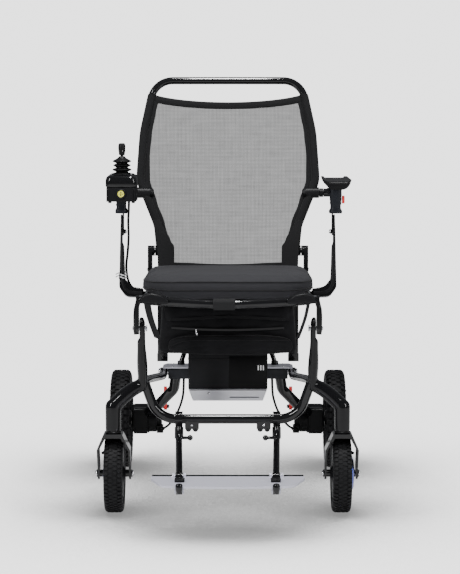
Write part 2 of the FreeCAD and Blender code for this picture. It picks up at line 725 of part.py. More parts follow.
def back_frame():
    """One bent tube: in at the pivots, wide at the shoulders, straight across the top."""
    half = [(168, 0), (175, 65), (220, 178), (212, 300), (184, size("back_height"))]
    run = [on_back(-x, rise) for x, rise in half]
    run += [on_back(x, rise) for x, rise in reversed(half)]
    bends = [0, 90, 70, 260, 55]
    hoop = tube(run, bends + bends[::-1], "Dimensions.back_tube_radius")
    pieces, bores = [hoop], []
    for _, side in SIDES:
        pieces.append(bar_along_x(size("back_eye_radius"), side * 158, side * 181.5,
                                  BACK_PIVOT.y, BACK_PIVOT.z))
        bores.append(bar_along_x(size("back_pin_radius") + FIT, side * 140, side * 200,
                                 BACK_PIVOT.y, BACK_PIVOT.z))
    return node(cut(fuse(*pieces), *bores), "back_frame")


def back_clamps(hoop):
    """Clamp on each back tube with the pin that the armrest turns on."""
    clamps = []
    for _, side in SIDES:
        y, z = BACK_LINK_PIN.y, BACK_LINK_PIN.z
        clamps.append(fuse(bar_along_x(13.5, side * 195, side * 228, y, z),
                           bar_along_x(size("arm_pin_radius"), side * 220, side * 262, y, z)))
    node(cut(fuse(*clamps), hoop), "back_clamps")


def back_mesh():
    """Woven panel stretched between the back tubes, a thin sheet in the backrest's plane."""
    half = [(138, -44), (153, 60), (199, 178), (197, 290), (173, 385)]
    top = 396
    right = [(x, rise) for x, rise in half]
    profile = right + [(0, top - 22)] + [(-x, rise) for x, rise in reversed(half)]
    radii = [6, 90, 60, 200, 8]
    sheet_body = padded("front", profile, radii + [400] + radii[::-1], 3)
    place(sheet_body, tuple(BACK_PIVOT), Rotation(Vector(1, 0, 0), -size("back_lean")))
    node(sheet_body, "back_mesh")


# ---------------------------------------------------------------------------
# arm linkage
# ---------------------------------------------------------------------------

def arm_blade(label, side, *leads):
    """J-shaped carbon blade, tapered upwards, with the eye at its foot and pin at its head."""
    length = LINK.Length
    head = length + 40
    profile = [(197, -10), (238, -8), (254, 14), (251.5, head), (247.2, head), (247.2, 90),
               (241.5, 36), (226, 16), (197, 11)]
    blade = padded("front", mirrored(profile, side), [3, 18, 16, 1.5, 1.5, 60, 14, 20, 3],
                   "Dimensions.blade_width")
    eye = bar_along_x(11, side * 197, side * 212, 0, 0)
    bore = bar_along_x(size("arm_pin_radius") + GAP, side * 190, side * 216, 0, 0)
    pin = bar_along_x(size("tang_pin_radius"), side * 241, side * 249, 0, length)
    pin_head = bar_along_x(6, side * 240, side * 242.9, 0, length)
    whole = cut(fuse(blade, eye), bore)
    # narrow the head of the blade so that it turns clear of the collar above it
    for direction in (-1, 1):
        corner = (-5 if side > 0 else -265, direction * 9 - (30 if direction < 0 else 0),
                  length + 10)
        whole = cut(whole, box(270, 30, 60, corner))
    finished = fuse(whole, pin, pin_head)
    place(finished, tuple(ARM_PIVOT), Rotation(Vector(1, 0, 0), -size("back_lean")))
    node(cut(finished, *leads) if leads else finished, label)


def arm_bar(side, eye_start, rests, front_z):
    """Side tube of an armrest: eye on the backrest's pin, tube, and tang at the front."""
    rear, front = BACK_LINK_PIN, ARM_LINK_PIN
    x = side * ARM_X
    run = [(x, rear.y - 4, rear.z), (x, rear.y - 60, rear.z - 1), (x, front.y + 70, front_z + 3),
           (x, front.y, front_z)]
    bar = tube(run, [0, 200, 200, 0], "Dimensions.arm_tube_radius")
    eye = bar_along_x(10.5, side * eye_start, side * 262, rear.y, rear.z)
    bore = bar_along_x(size("arm_pin_radius") + GAP, side * 225, side * 270, rear.y, rear.z)
    pieces = [cut(fuse(bar, eye), bore)]
    for y in rests:
        pieces.append(cylinder(5, size("pad_bottom") - front_z, (x, y, front_z)))
    post = box(8.6, 14, 24, (min(side * 243.4, side * 252), front.y - 7, 680))
    tang = place(padded("side", [(front.y - 8, front.z - 9), (front.y + 8, front.z - 9),
                                 (front.y + 6, 692), (front.y - 6, 692)],
                        [7.5, 7.5, 1, 1], 3.2), (side * 245.1, 0, 0))
    pin_hole = bar_along_x(size("tang_pin_radius") + GAP, side * 240, side * 249,
                           front.y, front.z)
    pieces += [post, cut(tang, pin_hole)]
    return fuse(*pieces)


def arm_link_slot(side):
    """Open way below the left tang's hole, so that the armrest lifts off its pin."""
    front, width = ARM_LINK_PIN, size("tang_pin_radius") + GAP + 0.7
    swing = math.degrees(math.atan2(BACK_LINK_PIN.z - front.z, BACK_LINK_PIN.y - front.y))
    turn = Rotation(Vector(1, 0, 0), swing)
    hole = Vector(min(side * 241, side * 249), front.y, front.z)
    length = 40
    return place(box(8, 2 * width, length, (0, 0, 0)),
                 tuple(hole + turn.multVec(Vector(0, -width, -length))), turn)


def grip(label, side, top, bar, button_pocket):
    """Waisted grip with a flared collar at its foot, under the front of an armrest."""
    front = ARM_LINK_PIN
    low = 678
    profile = [(-15, low), (15, low), (15, low + 11), (12, low + 17), (14, low + 36),
               (14, top), (-14, top), (-13, low + 36), (-12, low + 17), (-15, low + 11)]
    if top - low < 40:
        profile = [(-14, low), (14, low), (13.5, low + 9), (11, low + 14), (12, top),
                   (-12, top), (-11, low + 14), (-13.5, low + 9)]
    body = padded("front", mirrored(profile, side), [3] * 2 + [3] * (len(profile) - 6)
                  + [2, 2] + [3, 3], 30)
    place(body, (side * (ARM_X + 0.6), front.y, 0))
    pieces = fillet(body, 3, lambda edge: abs(edge.CenterOfMass.y - front.y) > 14.9
                    and isinstance(edge.Curve, Part.Line)
                    and abs(edge.Curve.Direction.z) > 0.9)
    if button_pocket:
        pieces = cut(pieces, box(12, 17, 20, (264.5, front.y - 8.5, 700)))
    node(cut(pieces, bar), label)


def release_button():
    """Red push button on the outside of the left grip."""
    block = box(6.2, 15, 18, (267.6, ARM_LINK_PIN.y - 7.5, 701))
    node(fillet(block, 2.5, along((1, 0, 0))), "arm_release_button")


def armrest_pad(label, side, front_y, rear_y):
    """Trough-shaped rest with raised edges."""
    bottom, half = size("pad_bottom"), size("pad_width") / 2
    profile = [(-14, 0), (14, 0), (26, 7), (half, 21), (half - 3.5, 23), (22, 15), (-22, 15),
               (3.5 - half, 23), (-half, 21), (-26, 7)]
    pad = padded("front", profile, [3, 3, 8, 1.5, 1.5, 5, 5, 1.5, 1.5, 8], rear_y - front_y)
    place(pad, (side * (ARM_X - 2), (front_y + rear_y) / 2, bottom))
    node(pad, label)


def arm_knuckle(side):
    """Collar on the left pin that stays level and carries the flip-up stop."""
    y, z = BACK_LINK_PIN.y, BACK_LINK_PIN.z
    ring = bar_along_x(11, side * 229, side * 238.5, y, z)
    bore = bar_along_x(size("arm_pin_radius") + GAP, side * 220, side * 245, y, z)
    node(cut(ring, bore), "arm_knuckle_left")


# ---------------------------------------------------------------------------
# joystick
# ---------------------------------------------------------------------------

def joystick():
    x, y = -size("joystick_x"), size("joystick_y")
    width, depth, wall = size("case_width"), size("case_depth"), 2.5
    low, split, top = size("case_bottom"), size("case_split"), size("case_top")

    def shell(half_width, bottom, height, rounding):
        block = box(2 * half_width, depth, height, (x - half_width, y - depth / 2, bottom))
        return fillet(block, rounding, along((0, 0, 1)))

    base = shell(width / 2 - 2, low, split - low, 7)
    base_room = box(width - 4 - 2 * wall, depth - 2 * wall, split, (
        x - width / 2 + 2 + wall, y - depth / 2 + wall, low + wall))
    feet = [box(7, 12, 5, (x + offset - 3.5, y - 30, low - 4.5)) for offset in (-27, 27)]
    port_z, port_radius = 729, size("port_radius")
    port_hole = cylinder(port_radius + 2.6, 20, (x, y - depth / 2 - 5, port_z), ALONG_Y)
    lead_hole = cylinder(size("lead_radius") + 0.5, 20, (LEAD_EXIT.x, LEAD_EXIT.y, low - 5))
    node(cut(fuse(base, *feet), base_room, port_hole, lead_hole), "joystick_base")

    lid = fillet(shell(width / 2, split + 0.1, top - split, 12), 6,
                 lambda edge: edge.CenterOfMass.z > top)
    lid_room = fillet(box(width - 2 * wall, depth - 2 * wall, top - split - 4 + 10, (
        x - width / 2 + wall, y - depth / 2 + wall, split - 10)), 10, along((0, 0, 1)))
    stick_hole = cylinder(14, 20, (x, y, top - 12))
    node(cut(lid, lid_room, stick_hole), "joystick_cover")

    ring = [(port_radius, -4), (port_radius + 2.5, -4), (port_radius + 2.5, 3),
            (port_radius + 1, 4), (port_radius - 1.5, 4), (port_radius - 1.5, -2)]
    plug = [(0, -4)] + ring[1:] + [(0, -2)]
    port = turned(plug, 0, (0, 0, 0), axis="upright")
    place(port, (x, y - depth / 2, port_z), ALONG_Y.multiply(Rotation(Vector(1, 0, 0), 180)))
    node(port, "charge_port")

    pivot_z = top - 15
    inner, outer = 11, size("gimbal_radius")
    ring = cylinder("Dimensions.gimbal_radius", 6, (x, y, pivot_z - 3))
    hole = cylinder(inner, 10, (x, y, pivot_z - 5))
    roll_pin = cylinder(1.6, 28, (x, y - 14, pivot_z), ALONG_Y)
    roll_bore = cylinder(1.6 + GAP, 40, (x, y - 20, pivot_z), ALONG_Y)
    trunnions = [bar_along_x(2, x + sign * (outer - 1), x + sign * (outer + 9), y, pivot_z)
                 for sign in (-1, 1)]
    node(fuse(cut(ring, hole, roll_bore), *trunnions), "joystick_gimbal")

    knob_top, knob_radius, knob_low = size("knob_top"), size("knob_radius"), 815
    rise = knob_top - knob_low
    shaft = cylinder(3.5, knob_low + 4 - pivot_z, (x, y, pivot_z))
    heart = ball(8, (x, y, pivot_z))
    knob = turned([(0, 0), (6.5, 0), (7.2, 4), (knob_radius, rise * 0.55),
                   (knob_radius - 1, rise - 3), (4, rise), (0, rise)], [0, 1, 6, 20, 3, 2, 0],
                  (x, y, knob_low), axis="upright")
    node(fuse(heart, shaft, knob, roll_pin), "joystick_stick")

    foot, boot_height = size("boot_radius"), size("boot_height")
    ridge, valley, neck, skin = foot - 0.5, foot - 9, 6.5, 1.6
    outside = [(foot - 2, 0), (foot - 2, 2), (valley, 6), (ridge, 11), (valley, 16),
               (ridge - 2, 21), (valley - 1, 26), (ridge, 30), (neck + 4, 38),
               (neck, boot_height)]
    inside = [(neck - skin, boot_height), (neck, 38), (11, 29), (11, 5), (15, 0)]
    boot = turned(outside + inside, 0, (x, y, top + 0.3), axis="upright")
    node(boot, "joystick_boot")


def joystick_lead():
    """Cable from the joystick down the inside of the right blade and behind its foot."""
    x, y = LEAD_EXIT.x, LEAD_EXIT.y
    run = [(x, y, size("case_bottom") + 5), (x - 0.5, y + 0.5, 688), (x - 2.5, y + 1, 660),
           (x - 1, y + 1, 622), (x - 4, y + 1, 584), (x - 7.5, y + 2, 560),
           (x - 7, y + 8, 536), (x - 2, y + 7, 514), (x + 9, y + 2, 501),
           (x + 20, y - 4, 495), (x + 26, y - 12, 493)]
    return node(lead(run, "Dimensions.lead_radius"), "joystick_lead")


def arms():
    front_y = ARM_LINK_PIN.y
    bars = {}
    arm_blade("arm_blade_left", 1)
    arm_blade("arm_blade_right", -1, joystick_lead())
    for name, side in SIDES:
        eye_start = 239.5 if side > 0 else 229.5
        bar = arm_bar(side, eye_start, (15, 62), 698)
        if side > 0:
            bar = cut(bar, arm_link_slot(side))
        bars[name] = node(bar, "arm_bar_" + name)
    grip("arm_grip", 1, 736.9, bars["left"], True)
    grip("joystick_mount", -1, size("case_bottom"), bars["right"], False)
    release_button()
    armrest_pad("armrest_pad_left", 1, front_y - 80, 75)
    armrest_pad("armrest_pad_right", -1, front_y + 11, 75)
    arm_knuckle(1)


# ---------------------------------------------------------------------------
# footrest
# ---------------------------------------------------------------------------

def footrest_leg(label, side):
    """Forward-sloping leg: clamp ring on the crossbar, adjusting knob, eye at its foot."""
    x, bar_y, bar_z = side * size("leg_rest_x"), size("crossbar_y"), size("crossbar_z")
    hinge_y, hinge_z = size("plate_rear_y") - 3, size("plate_z") - 0.5
    foot_x = side * 107.5
    run = [(x, bar_y, bar_z - 14), (x, bar_y - 14, bar_z - 40),
           (foot_x, hinge_y + 6, hinge_z + 3)]
    leg = tube(run, [0, 60, 0], "Dimensions.leg_rest_radius")
    ring = bar_along_x(17, side * 103.6, side * 119.6, bar_y, bar_z)
    ring_bore = bar_along_x(size("crossbar_radius") + GAP, side * 95, side * 125, bar_y, bar_z)
    sleeve = cylinder(10, 26, (x, bar_y - 6, bar_z - 44), towards((0, 0.35, 1)))
    eye = bar_along_x(8.5, side * 99.2, side * 115.8, hinge_y, hinge_z)
    eye_bore = bar_along_x(size("tang_pin_radius") + GAP, side * 90, side * 125,
                           hinge_y, hinge_z)
    knob_y, knob_z = bar_y - 14, bar_z - 41
    spindle = bar_along_x(3.5, side * 86, side * 108, knob_y, knob_z)
    knob = ball(6.5, (side * 86, knob_y, knob_z))
    node(cut(fuse(leg, ring, sleeve, eye, spindle, knob), ring_bore, eye_bore), label)


def footplate():
    """Curved plate that folds up on two pins, with hanger lugs for its rollers."""
    half, rear, depth = size("plate_half_width"), size("plate_rear_y"), size("plate_depth")
    thickness, z = size("plate_thickness"), size("plate_z")
    front = rear - depth
    profile = [(-half, rear), (half, rear), (half, rear - 24), (half * 0.84, front + 11),
               (0, front - 1), (-half * 0.84, front + 11), (-half, rear - 24)]
    plate = padded("top", profile, [5, 5, 30, 24, 600, 24, 30], "Dimensions.plate_thickness")
    place(plate, (0, 0, z - thickness / 2))
    hinge_y, hinge_z = rear - 3, z - 0.5
    notches, extras = [], []
    for _, side in SIDES:
        notches.append(box(19.6, 24, 12, (min(side * 97.7, side * 117.3), rear - 15, z - 8)))
        for inner in (92.8, 117.4):
            low_x = min(side * inner, side * (inner + 4.8))
            extras.append(fillet(box(4.8, 17, 16, (low_x, hinge_y - 9, hinge_z - 8)), 3,
                                 along((1, 0, 0))))
        extras.append(bar_along_x(size("tang_pin_radius"), side * 93, side * 122,
                                  hinge_y, hinge_z))
        for inner in (95, 112.5):
            low_x = min(side * inner, side * (inner + 3))
            extras.append(box(3, 14, 17, (low_x, front + 21, z - 20)))
        extras.append(bar_along_x(3, side * 95, side * 115.5, front + 28, z - 14))
    node(fuse(cut(plate, *notches), *extras), "footplate")


def footplate_rollers():
    """The small rollers under the front of the footplate, on one common axis."""
    y, z = size("plate_rear_y") - size("plate_depth") + 28, size("plate_z") - 14
    rollers = []
    for _, side in SIDES:
        wheel = bar_along_x(size("roller_radius") - 1.5, side * 98.6, side * 111.9, y, z)
        bore = bar_along_x(3 + FIT, side * 90, side * 120, y, z)
        rollers.append(cut(wheel, bore))
    node(fuse(*rollers), "footplate_rollers")


# ---------------------------------------------------------------------------
# assembly
# ---------------------------------------------------------------------------

def build():
    wheels()
    bar = crossbar()
    leads = motor_leads()
    rails = seat_frame()
    for name, side in SIDES:
        arm = side_arm("side_arm_" + name, side)
        front_leg("front_leg_" + name, side, bar, arm)
        drive_motor("drive_motor_" + name, side, rear_tube("rear_tube_" + name, side), leads)
        freewheel_lever("freewheel_lever_" + name, side)
        back_bracket("back_bracket_" + name, side, rails)
        footrest_leg("footrest_leg_" + name, side)
    hinge_bolts()
    casing()
    pivot_shaft()
    battery_and_tray()
    seat_cushion()
    seat_prop(rails)
    storage_bag()
    back_clamps(back_frame())
    back_mesh()
    arms()
    joystick()
    footplate()
    footplate_rollers()


def save():
    doc.recompute()
    for feature in doc.Objects:
        states = set(feature.State)
        if states & {"Invalid", "Error"}:
            raise RuntimeError("%s (%s) failed: %s" % (feature.Label, feature.Name, states))
    for feature in NODES:
        if feature.Shape.isNull() or not feature.Shape.isValid():
            raise RuntimeError("%s has no valid shape" % feature.Label)
    os.makedirs("parts", exist_ok=True)
    for feature in NODES:
        feature.Shape.exportStep("parts/%s.step" % feature.Label)
    print(len(NODES), "nodes written")


build()
save()
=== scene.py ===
import json
import math

import bmesh
import bpy
from mathutils import Matrix, Vector
from mathutils.bvhtree import BVHTree


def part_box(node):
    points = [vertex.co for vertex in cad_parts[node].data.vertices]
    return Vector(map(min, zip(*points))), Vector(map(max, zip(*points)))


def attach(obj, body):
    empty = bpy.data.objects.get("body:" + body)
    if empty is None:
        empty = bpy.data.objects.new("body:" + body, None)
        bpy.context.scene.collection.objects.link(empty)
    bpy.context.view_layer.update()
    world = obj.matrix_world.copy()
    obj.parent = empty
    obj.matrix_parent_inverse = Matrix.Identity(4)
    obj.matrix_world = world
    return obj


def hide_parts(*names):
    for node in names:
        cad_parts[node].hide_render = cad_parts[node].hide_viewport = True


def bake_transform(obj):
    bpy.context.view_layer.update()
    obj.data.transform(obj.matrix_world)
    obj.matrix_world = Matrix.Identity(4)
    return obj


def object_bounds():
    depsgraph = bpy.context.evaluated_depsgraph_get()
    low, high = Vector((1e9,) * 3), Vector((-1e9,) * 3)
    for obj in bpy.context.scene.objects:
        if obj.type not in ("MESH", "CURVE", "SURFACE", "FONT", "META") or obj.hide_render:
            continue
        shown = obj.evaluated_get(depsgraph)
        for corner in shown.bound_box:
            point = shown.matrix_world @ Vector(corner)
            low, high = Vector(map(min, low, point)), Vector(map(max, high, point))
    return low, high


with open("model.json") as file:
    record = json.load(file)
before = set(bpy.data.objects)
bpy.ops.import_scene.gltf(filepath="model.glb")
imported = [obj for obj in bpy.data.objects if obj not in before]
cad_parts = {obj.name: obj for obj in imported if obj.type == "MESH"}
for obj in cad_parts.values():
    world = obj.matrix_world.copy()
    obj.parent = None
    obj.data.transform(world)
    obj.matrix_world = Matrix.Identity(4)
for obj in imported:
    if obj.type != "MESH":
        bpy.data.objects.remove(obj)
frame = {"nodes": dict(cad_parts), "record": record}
cad_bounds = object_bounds()

RECORD = frame["record"]
SLOT_OF = {part["node"]: part["material_slot"] for part in RECORD["subparts"]}
COLOUR_OF = {entry["slot"]: entry["base_color"] for entry in RECORD["materials"]}
PLACE = {joint["name"]: Vector(joint["pos_m"]) for joint in RECORD["behaviour"]["joints"]
         if "pos_m" in joint}
SIDES = (("left", 1), ("right", -1))
MM = 0.001
# How bright the floor and surround look to the camera.
WHITE = 2.6
# Share kept of a near-black base colour, and the brightness that counts as near-black.
DARK_SHARE, DARK_BELOW = 0.22, 0.2
# Where the camera stands, in metres, and how far it looks down, in degrees.
CAMERA_AT, CAMERA_DOWN = (0.00505, -4.4842, 0.9865), 6.195


# ---------------------------------------------------------------------------
# materials
# ---------------------------------------------------------------------------

def deep(colour):
    """The darker base that a near-black finish needs under a bright white surround."""
    share = DARK_SHARE if max(colour[:3]) < DARK_BELOW else 1.0
    return tuple(value * share for value in colour[:3])


class Shade:
    """One procedural material, built up node by node on a Principled shader."""

    def __init__(self, name, colour, roughness, metallic=0.0):
        self.material = bpy.data.materials.new(name)
        self.material.use_nodes = True
        self.nodes = self.material.node_tree.nodes
        self.links = self.material.node_tree.links
        self.shader = self.nodes["Principled BSDF"]
        colour = deep(colour)
        self.set(self.shader, "Base Color", (*colour, 1.0))
        self.set(self.shader, "Roughness", roughness)
        self.set(self.shader, "Metallic", metallic)
        self.set(self.shader, "Specular IOR Level", 0.5 if metallic else 0.16)
        self.coordinates = self.nodes.new("ShaderNodeTexCoord")
        self.colour = colour
        self.roughness = roughness

    def set(self, node, socket, value):
        node.inputs[socket].default_value = value

    def join(self, source, output, target, socket):
        self.links.new(source.outputs[output], target.inputs[socket])

    def noise(self, scale, stretch=(1, 1, 1), detail=4.0):
        """Noise in the object's own coordinates; scale is waves per metre."""
        mapping = self.nodes.new("ShaderNodeMapping")
        self.set(mapping, "Scale", stretch)
        self.join(self.coordinates, "Object", mapping, "Vector")
        texture = self.nodes.new("ShaderNodeTexNoise")
        self.set(texture, "Scale", scale)
        self.set(texture, "Detail", detail)
        self.join(mapping, "Vector", texture, "Vector")
        return texture

    def bands(self, direction, pitch, distortion=0.0):
        """Parallel ridges across X, Y or Z, one every pitch metres."""
        texture = self.nodes.new("ShaderNodeTexWave")
        texture.bands_direction = direction
        self.set(texture, "Scale", 0.31416 / pitch)
        self.set(texture, "Distortion", distortion)
        self.join(self.coordinates, "Object", texture, "Vector")
        return texture

    def combine(self, first, second, operation="MULTIPLY"):
        node = self.nodes.new("ShaderNodeMath")
        node.operation = operation
        self.links.new(first, node.inputs[0])
        self.links.new(second, node.inputs[1])
        return node.outputs[0]

    def remap(self, source, low, high):
        node = self.nodes.new("ShaderNodeMapRange")
        self.set(node, "To Min", low)
        self.set(node, "To Max", high)
        self.links.new(source, node.inputs["Value"])
        return node.outputs["Result"]

    def tint(self, factor, other):
        """Blend the base colour towards another by a 0..1 output."""
        mix = self.nodes.new("ShaderNodeMix")
        mix.data_type = "RGBA"
        colours = [socket for socket in mix.inputs if socket.type == "RGBA"]
        colours[0].default_value = (*self.colour, 1.0)
        colours[1].default_value = (*deep(other), 1.0)
        self.links.new(factor, mix.inputs["Factor"])
        result = next(socket for socket in mix.outputs if socket.type == "RGBA")
        self.links.new(result, self.shader.inputs["Base Color"])

    def vary_roughness(self, source, spread):
        result = self.remap(source, max(self.roughness - spread, 0.03), self.roughness + spread)
        self.links.new(result, self.shader.inputs["Roughness"])

    def bump(self, height, strength, distance):
        node = self.nodes.new("ShaderNodeBump")
        self.set(node, "Strength", strength)
        self.set(node, "Distance", distance)
        self.links.new(height, node.inputs["Height"])
        self.join(node, "Normal", self.shader, "Normal")


def lacquer(name, colour, roughness=0.12):
    """Deep gloss over a dark base, with a faint orange-peel in the clear coat."""
    shade = Shade(name, colour, roughness)
    shade.set(shade.shader, "Coat Weight", 0.55)
    shade.set(shade.shader, "Coat Roughness", 0.06)
    peel = shade.noise(220, detail=2.0)
    shade.bump(peel.outputs["Fac"], 0.04, 0.0005)
    dust = shade.noise(28)
    shade.vary_roughness(dust.outputs["Fac"], 0.05)
    shade.tint(shade.remap(dust.outputs["Fac"], 0.0, 0.25), (0.05, 0.05, 0.055))
    return shade.material


def carbon(name, colour):
    """Moulded carbon under lacquer: a fine twill that only shows in the highlights."""
    shade = Shade(name, colour, 0.16)
    shade.set(shade.shader, "Specular IOR Level", 0.06)
    shade.set(shade.shader, "Coat Weight", 0.45)
    shade.set(shade.shader, "Coat Roughness", 0.05)
    twill = shade.combine(shade.bands("X", 0.0040).outputs["Fac"],
                          shade.bands("Z", 0.0040).outputs["Fac"])
    shade.tint(shade.remap(twill, 0.0, 0.5), (0.035, 0.035, 0.04))
    shade.vary_roughness(twill, 0.06)
    shade.bump(shade.noise(120, detail=2.0).outputs["Fac"], 0.05, 0.0005)
    return shade.material


def moulding(name, colour, roughness=0.42, grain=900):
    """Textured plastic or rubber with a fine spark-eroded grain."""
    shade = Shade(name, colour, roughness)
    fine = shade.noise(grain, detail=3.0)
    broad = shade.noise(22)
    shade.bump(fine.outputs["Fac"], 0.22, 0.0004)
    lighter = tuple(min(1.0, value * 1.7 + 0.008) for value in colour[:3])
    shade.tint(shade.remap(broad.outputs["Fac"], 0.0, 0.7), lighter)
    shade.vary_roughness(broad.outputs["Fac"], 0.1)
    return shade.material


def metal(name, colour, roughness=0.28, grain=(1, 40, 1)):
    """Bare or anodised metal with a directional brushed grain."""
    shade = Shade(name, colour, roughness, metallic=1.0)
    brushed = shade.noise(60, stretch=grain, detail=6.0)
    shade.vary_roughness(brushed.outputs["Fac"], 0.1)
    shade.bump(brushed.outputs["Fac"], 0.06, 0.0003)
    shade.tint(shade.remap(brushed.outputs["Fac"], 0.0, 0.35),
               tuple(value * 0.7 for value in colour[:3]))
    return shade.material


def satin(name, colour):
    """Pale anodised sheet, almost matt, with a faint grain along its length."""
    shade = Shade(name, colour, 0.42, metallic=0.35)
    grain = shade.noise(40, stretch=(1, 12, 12), detail=5.0)
    shade.vary_roughness(grain.outputs["Fac"], 0.08)
    shade.tint(shade.remap(grain.outputs["Fac"], 0.0, 0.3),
               tuple(value * 0.82 for value in colour[:3]))
    shade.bump(grain.outputs["Fac"], 0.05, 0.0003)
    return shade.material


def tread_rubber(name, colour):
    """Black tyre compound, greyer where the tread has scuffed."""
    shade = Shade(name, colour, 0.62)
    scuff = shade.noise(45, detail=6.0)
    shade.tint(shade.remap(scuff.outputs["Fac"], 0.0, 0.8), (0.06, 0.06, 0.065))
    shade.bump(shade.noise(600).outputs["Fac"], 0.3, 0.0005)
    return shade.material


def weave(name, colour, pitch, lighter, sheen=0.25, creases=0.0):
    """Woven cloth: warp and weft ridges, thread-to-thread colour change and soft creases."""
    shade = Shade(name, colour, 0.82)
    shade.set(shade.shader, "Sheen Weight", sheen * 0.25)
    shade.set(shade.shader, "Sheen Roughness", 0.5)
    warp = shade.bands("X", pitch, 0.6).outputs["Fac"]
    weft = shade.bands("Y", pitch, 0.6).outputs["Fac"]
    rise = shade.bands("Z", pitch, 0.6).outputs["Fac"]
    threads = shade.combine(shade.combine(warp, weft, "ADD"), rise, "ADD")
    slub = shade.noise(70, stretch=(1, 1, 5)).outputs["Fac"]
    shade.tint(shade.combine(shade.remap(threads, 0.0, 0.32), slub), lighter)
    folds = shade.noise(26, detail=3.0).outputs["Fac"]
    height = shade.combine(shade.remap(threads, 0.0, 0.12), shade.remap(folds, 0.0, creases),
                           "ADD")
    shade.bump(height, 0.7, 0.0022)
    return shade.material


def open_mesh(name, colour):
    """See-through netting: dark threads with clear gaps between them."""
    shade = Shade(name, colour, 0.75)
    pitch = 0.0034
    across = shade.bands("X", pitch, 0.4).outputs["Fac"]
    upwards = shade.bands("Z", pitch, 0.4).outputs["Fac"]
    threads = shade.combine(across, upwards, "MAXIMUM")
    streak = shade.noise(40, stretch=(9, 1, 0.35), detail=5.0).outputs["Fac"]
    lines = shade.noise(26, stretch=(0.9, 1, 4), detail=4.0).outputs["Fac"]
    cloudy = shade.combine(streak, lines)
    density = shade.combine(shade.remap(threads, 0.70, 0.86), shade.remap(cloudy, 0.0, 0.14),
                            "ADD")
    shade.links.new(density, shade.shader.inputs["Alpha"])
    shade.tint(shade.remap(cloudy, 0.0, 1.0), (0.10, 0.10, 0.105))
    shade.bump(threads, 0.4, 0.0006)
    return shade.material


def build_materials():
    """One material for each of the record's slots, plus the finishes used only here."""
    made = {}
    for slot, colour in COLOUR_OF.items():
        if slot == "carbon":
            made[slot] = carbon(slot, colour)
        elif slot == "frame_tube":
            made[slot] = lacquer(slot, colour)
        elif slot in ("tray_silver", "casing_lid", "footplate_silver"):
            made[slot] = satin(slot, colour)
        elif slot == "steel":
            made[slot] = metal(slot, colour)
        elif slot == "blue_rim":
            made[slot] = metal(slot, colour, 0.2)
        elif slot == "tyre":
            made[slot] = tread_rubber(slot, colour)
        elif slot == "cushion_fabric":
            made[slot] = weave(slot, (0.10, 0.10, 0.115), 0.0022, (0.19, 0.19, 0.199), 0.1)
        elif slot == "bag_fabric":
            made[slot] = weave(slot, colour, 0.0016, (0.06, 0.06, 0.065), 0.15, 1.0)
        elif slot == "mesh_fabric":
            made[slot] = open_mesh(slot, (0.035, 0.035, 0.037))
        elif slot in ("rim", "motor"):
            made[slot] = moulding(slot, colour, 0.36, 500)
        elif slot in ("red_plastic", "port_yellow"):
            made[slot] = moulding(slot, colour, 0.25, 300)
        else:
            made[slot] = moulding(slot, colour)
    made["gloss_black"] = lacquer("gloss_black", (0.012, 0.012, 0.014), 0.1)
    made["window"] = moulding("window", (0.004, 0.004, 0.005), 0.55, 300)
    made["webbing"] = weave("webbing", (0.035, 0.035, 0.038), 0.0018, (0.09, 0.09, 0.095))
    made["sleeve"] = weave("sleeve", (0.018, 0.018, 0.02), 0.0016, (0.06, 0.06, 0.065), 0.2)
    made["chrome"] = metal("chrome", (0.75, 0.75, 0.77), 0.12)
    made["white_print"] = moulding("white_print", (0.78, 0.78, 0.78), 0.5)
    made["tie_clip"] = moulding("tie_clip", (0.55, 0.55, 0.56), 0.3)
    return made


MATERIAL = build_materials()


def dress(piece, material):
    """Give a piece one material."""
    piece.data.materials.clear()
    piece.data.materials.append(MATERIAL[material])
    return piece


def dress_frame():
    """Every carried-over node takes the material of its slot."""
    for name, obj in frame["nodes"].items():
        obj.data.materials.clear()
        obj.data.materials.append(MATERIAL[SLOT_OF[name]])


# ---------------------------------------------------------------------------
# mesh helpers
# ---------------------------------------------------------------------------

def piece_from(name, vertices, faces, body, material, smooth=True):
    """A mesh piece that rides on a body."""
    mesh = bpy.data.meshes.new(name)
    mesh.from_pydata([tuple(vertex) for vertex in vertices], [], faces)
    mesh.update()
    piece = bpy.data.objects.new(name, mesh)
    bpy.context.scene.collection.objects.link(piece)
    work = bmesh.new()
    work.from_mesh(mesh)
    bmesh.ops.recalc_face_normals(work, faces=work.faces)
    work.to_mesh(mesh)
    work.free()
    if smooth:
        mesh.shade_smooth()
    dress(piece, material)
    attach(piece, body)
    return piece


def grid_faces(rows, columns, closed=False, capped=False):
    """Quads between rows of points; closed joins the last column to the first."""
    faces = []
    last = columns if closed else columns - 1
    for row in range(rows - 1):
        for column in range(last):
            after = (column + 1) % columns
            faces.append((row * columns + column, row * columns + after,
                          (row + 1) * columns + after, (row + 1) * columns + column))
    if capped:
        faces.append(tuple(reversed(range(columns))))
        faces.append(tuple((rows - 1) * columns + column for column in range(columns)))
    return faces


def loft(name, sections, body, material, sharp=40):
    """A closed skin through rings of points, capped at both ends."""
    vertices = [point for section in sections for point in section]
    faces = grid_faces(len(sections), len(sections[0]), closed=True, capped=True)
    piece = piece_from(name, vertices, faces, body, material)
    piece.data.set_sharp_from_angle(angle=math.radians(sharp))
    return piece


def basis(axis):
    """Two unit vectors square to an axis."""
    axis = Vector(axis).normalized()
    across = axis.orthogonal().normalized()
    return across, axis.cross(across)


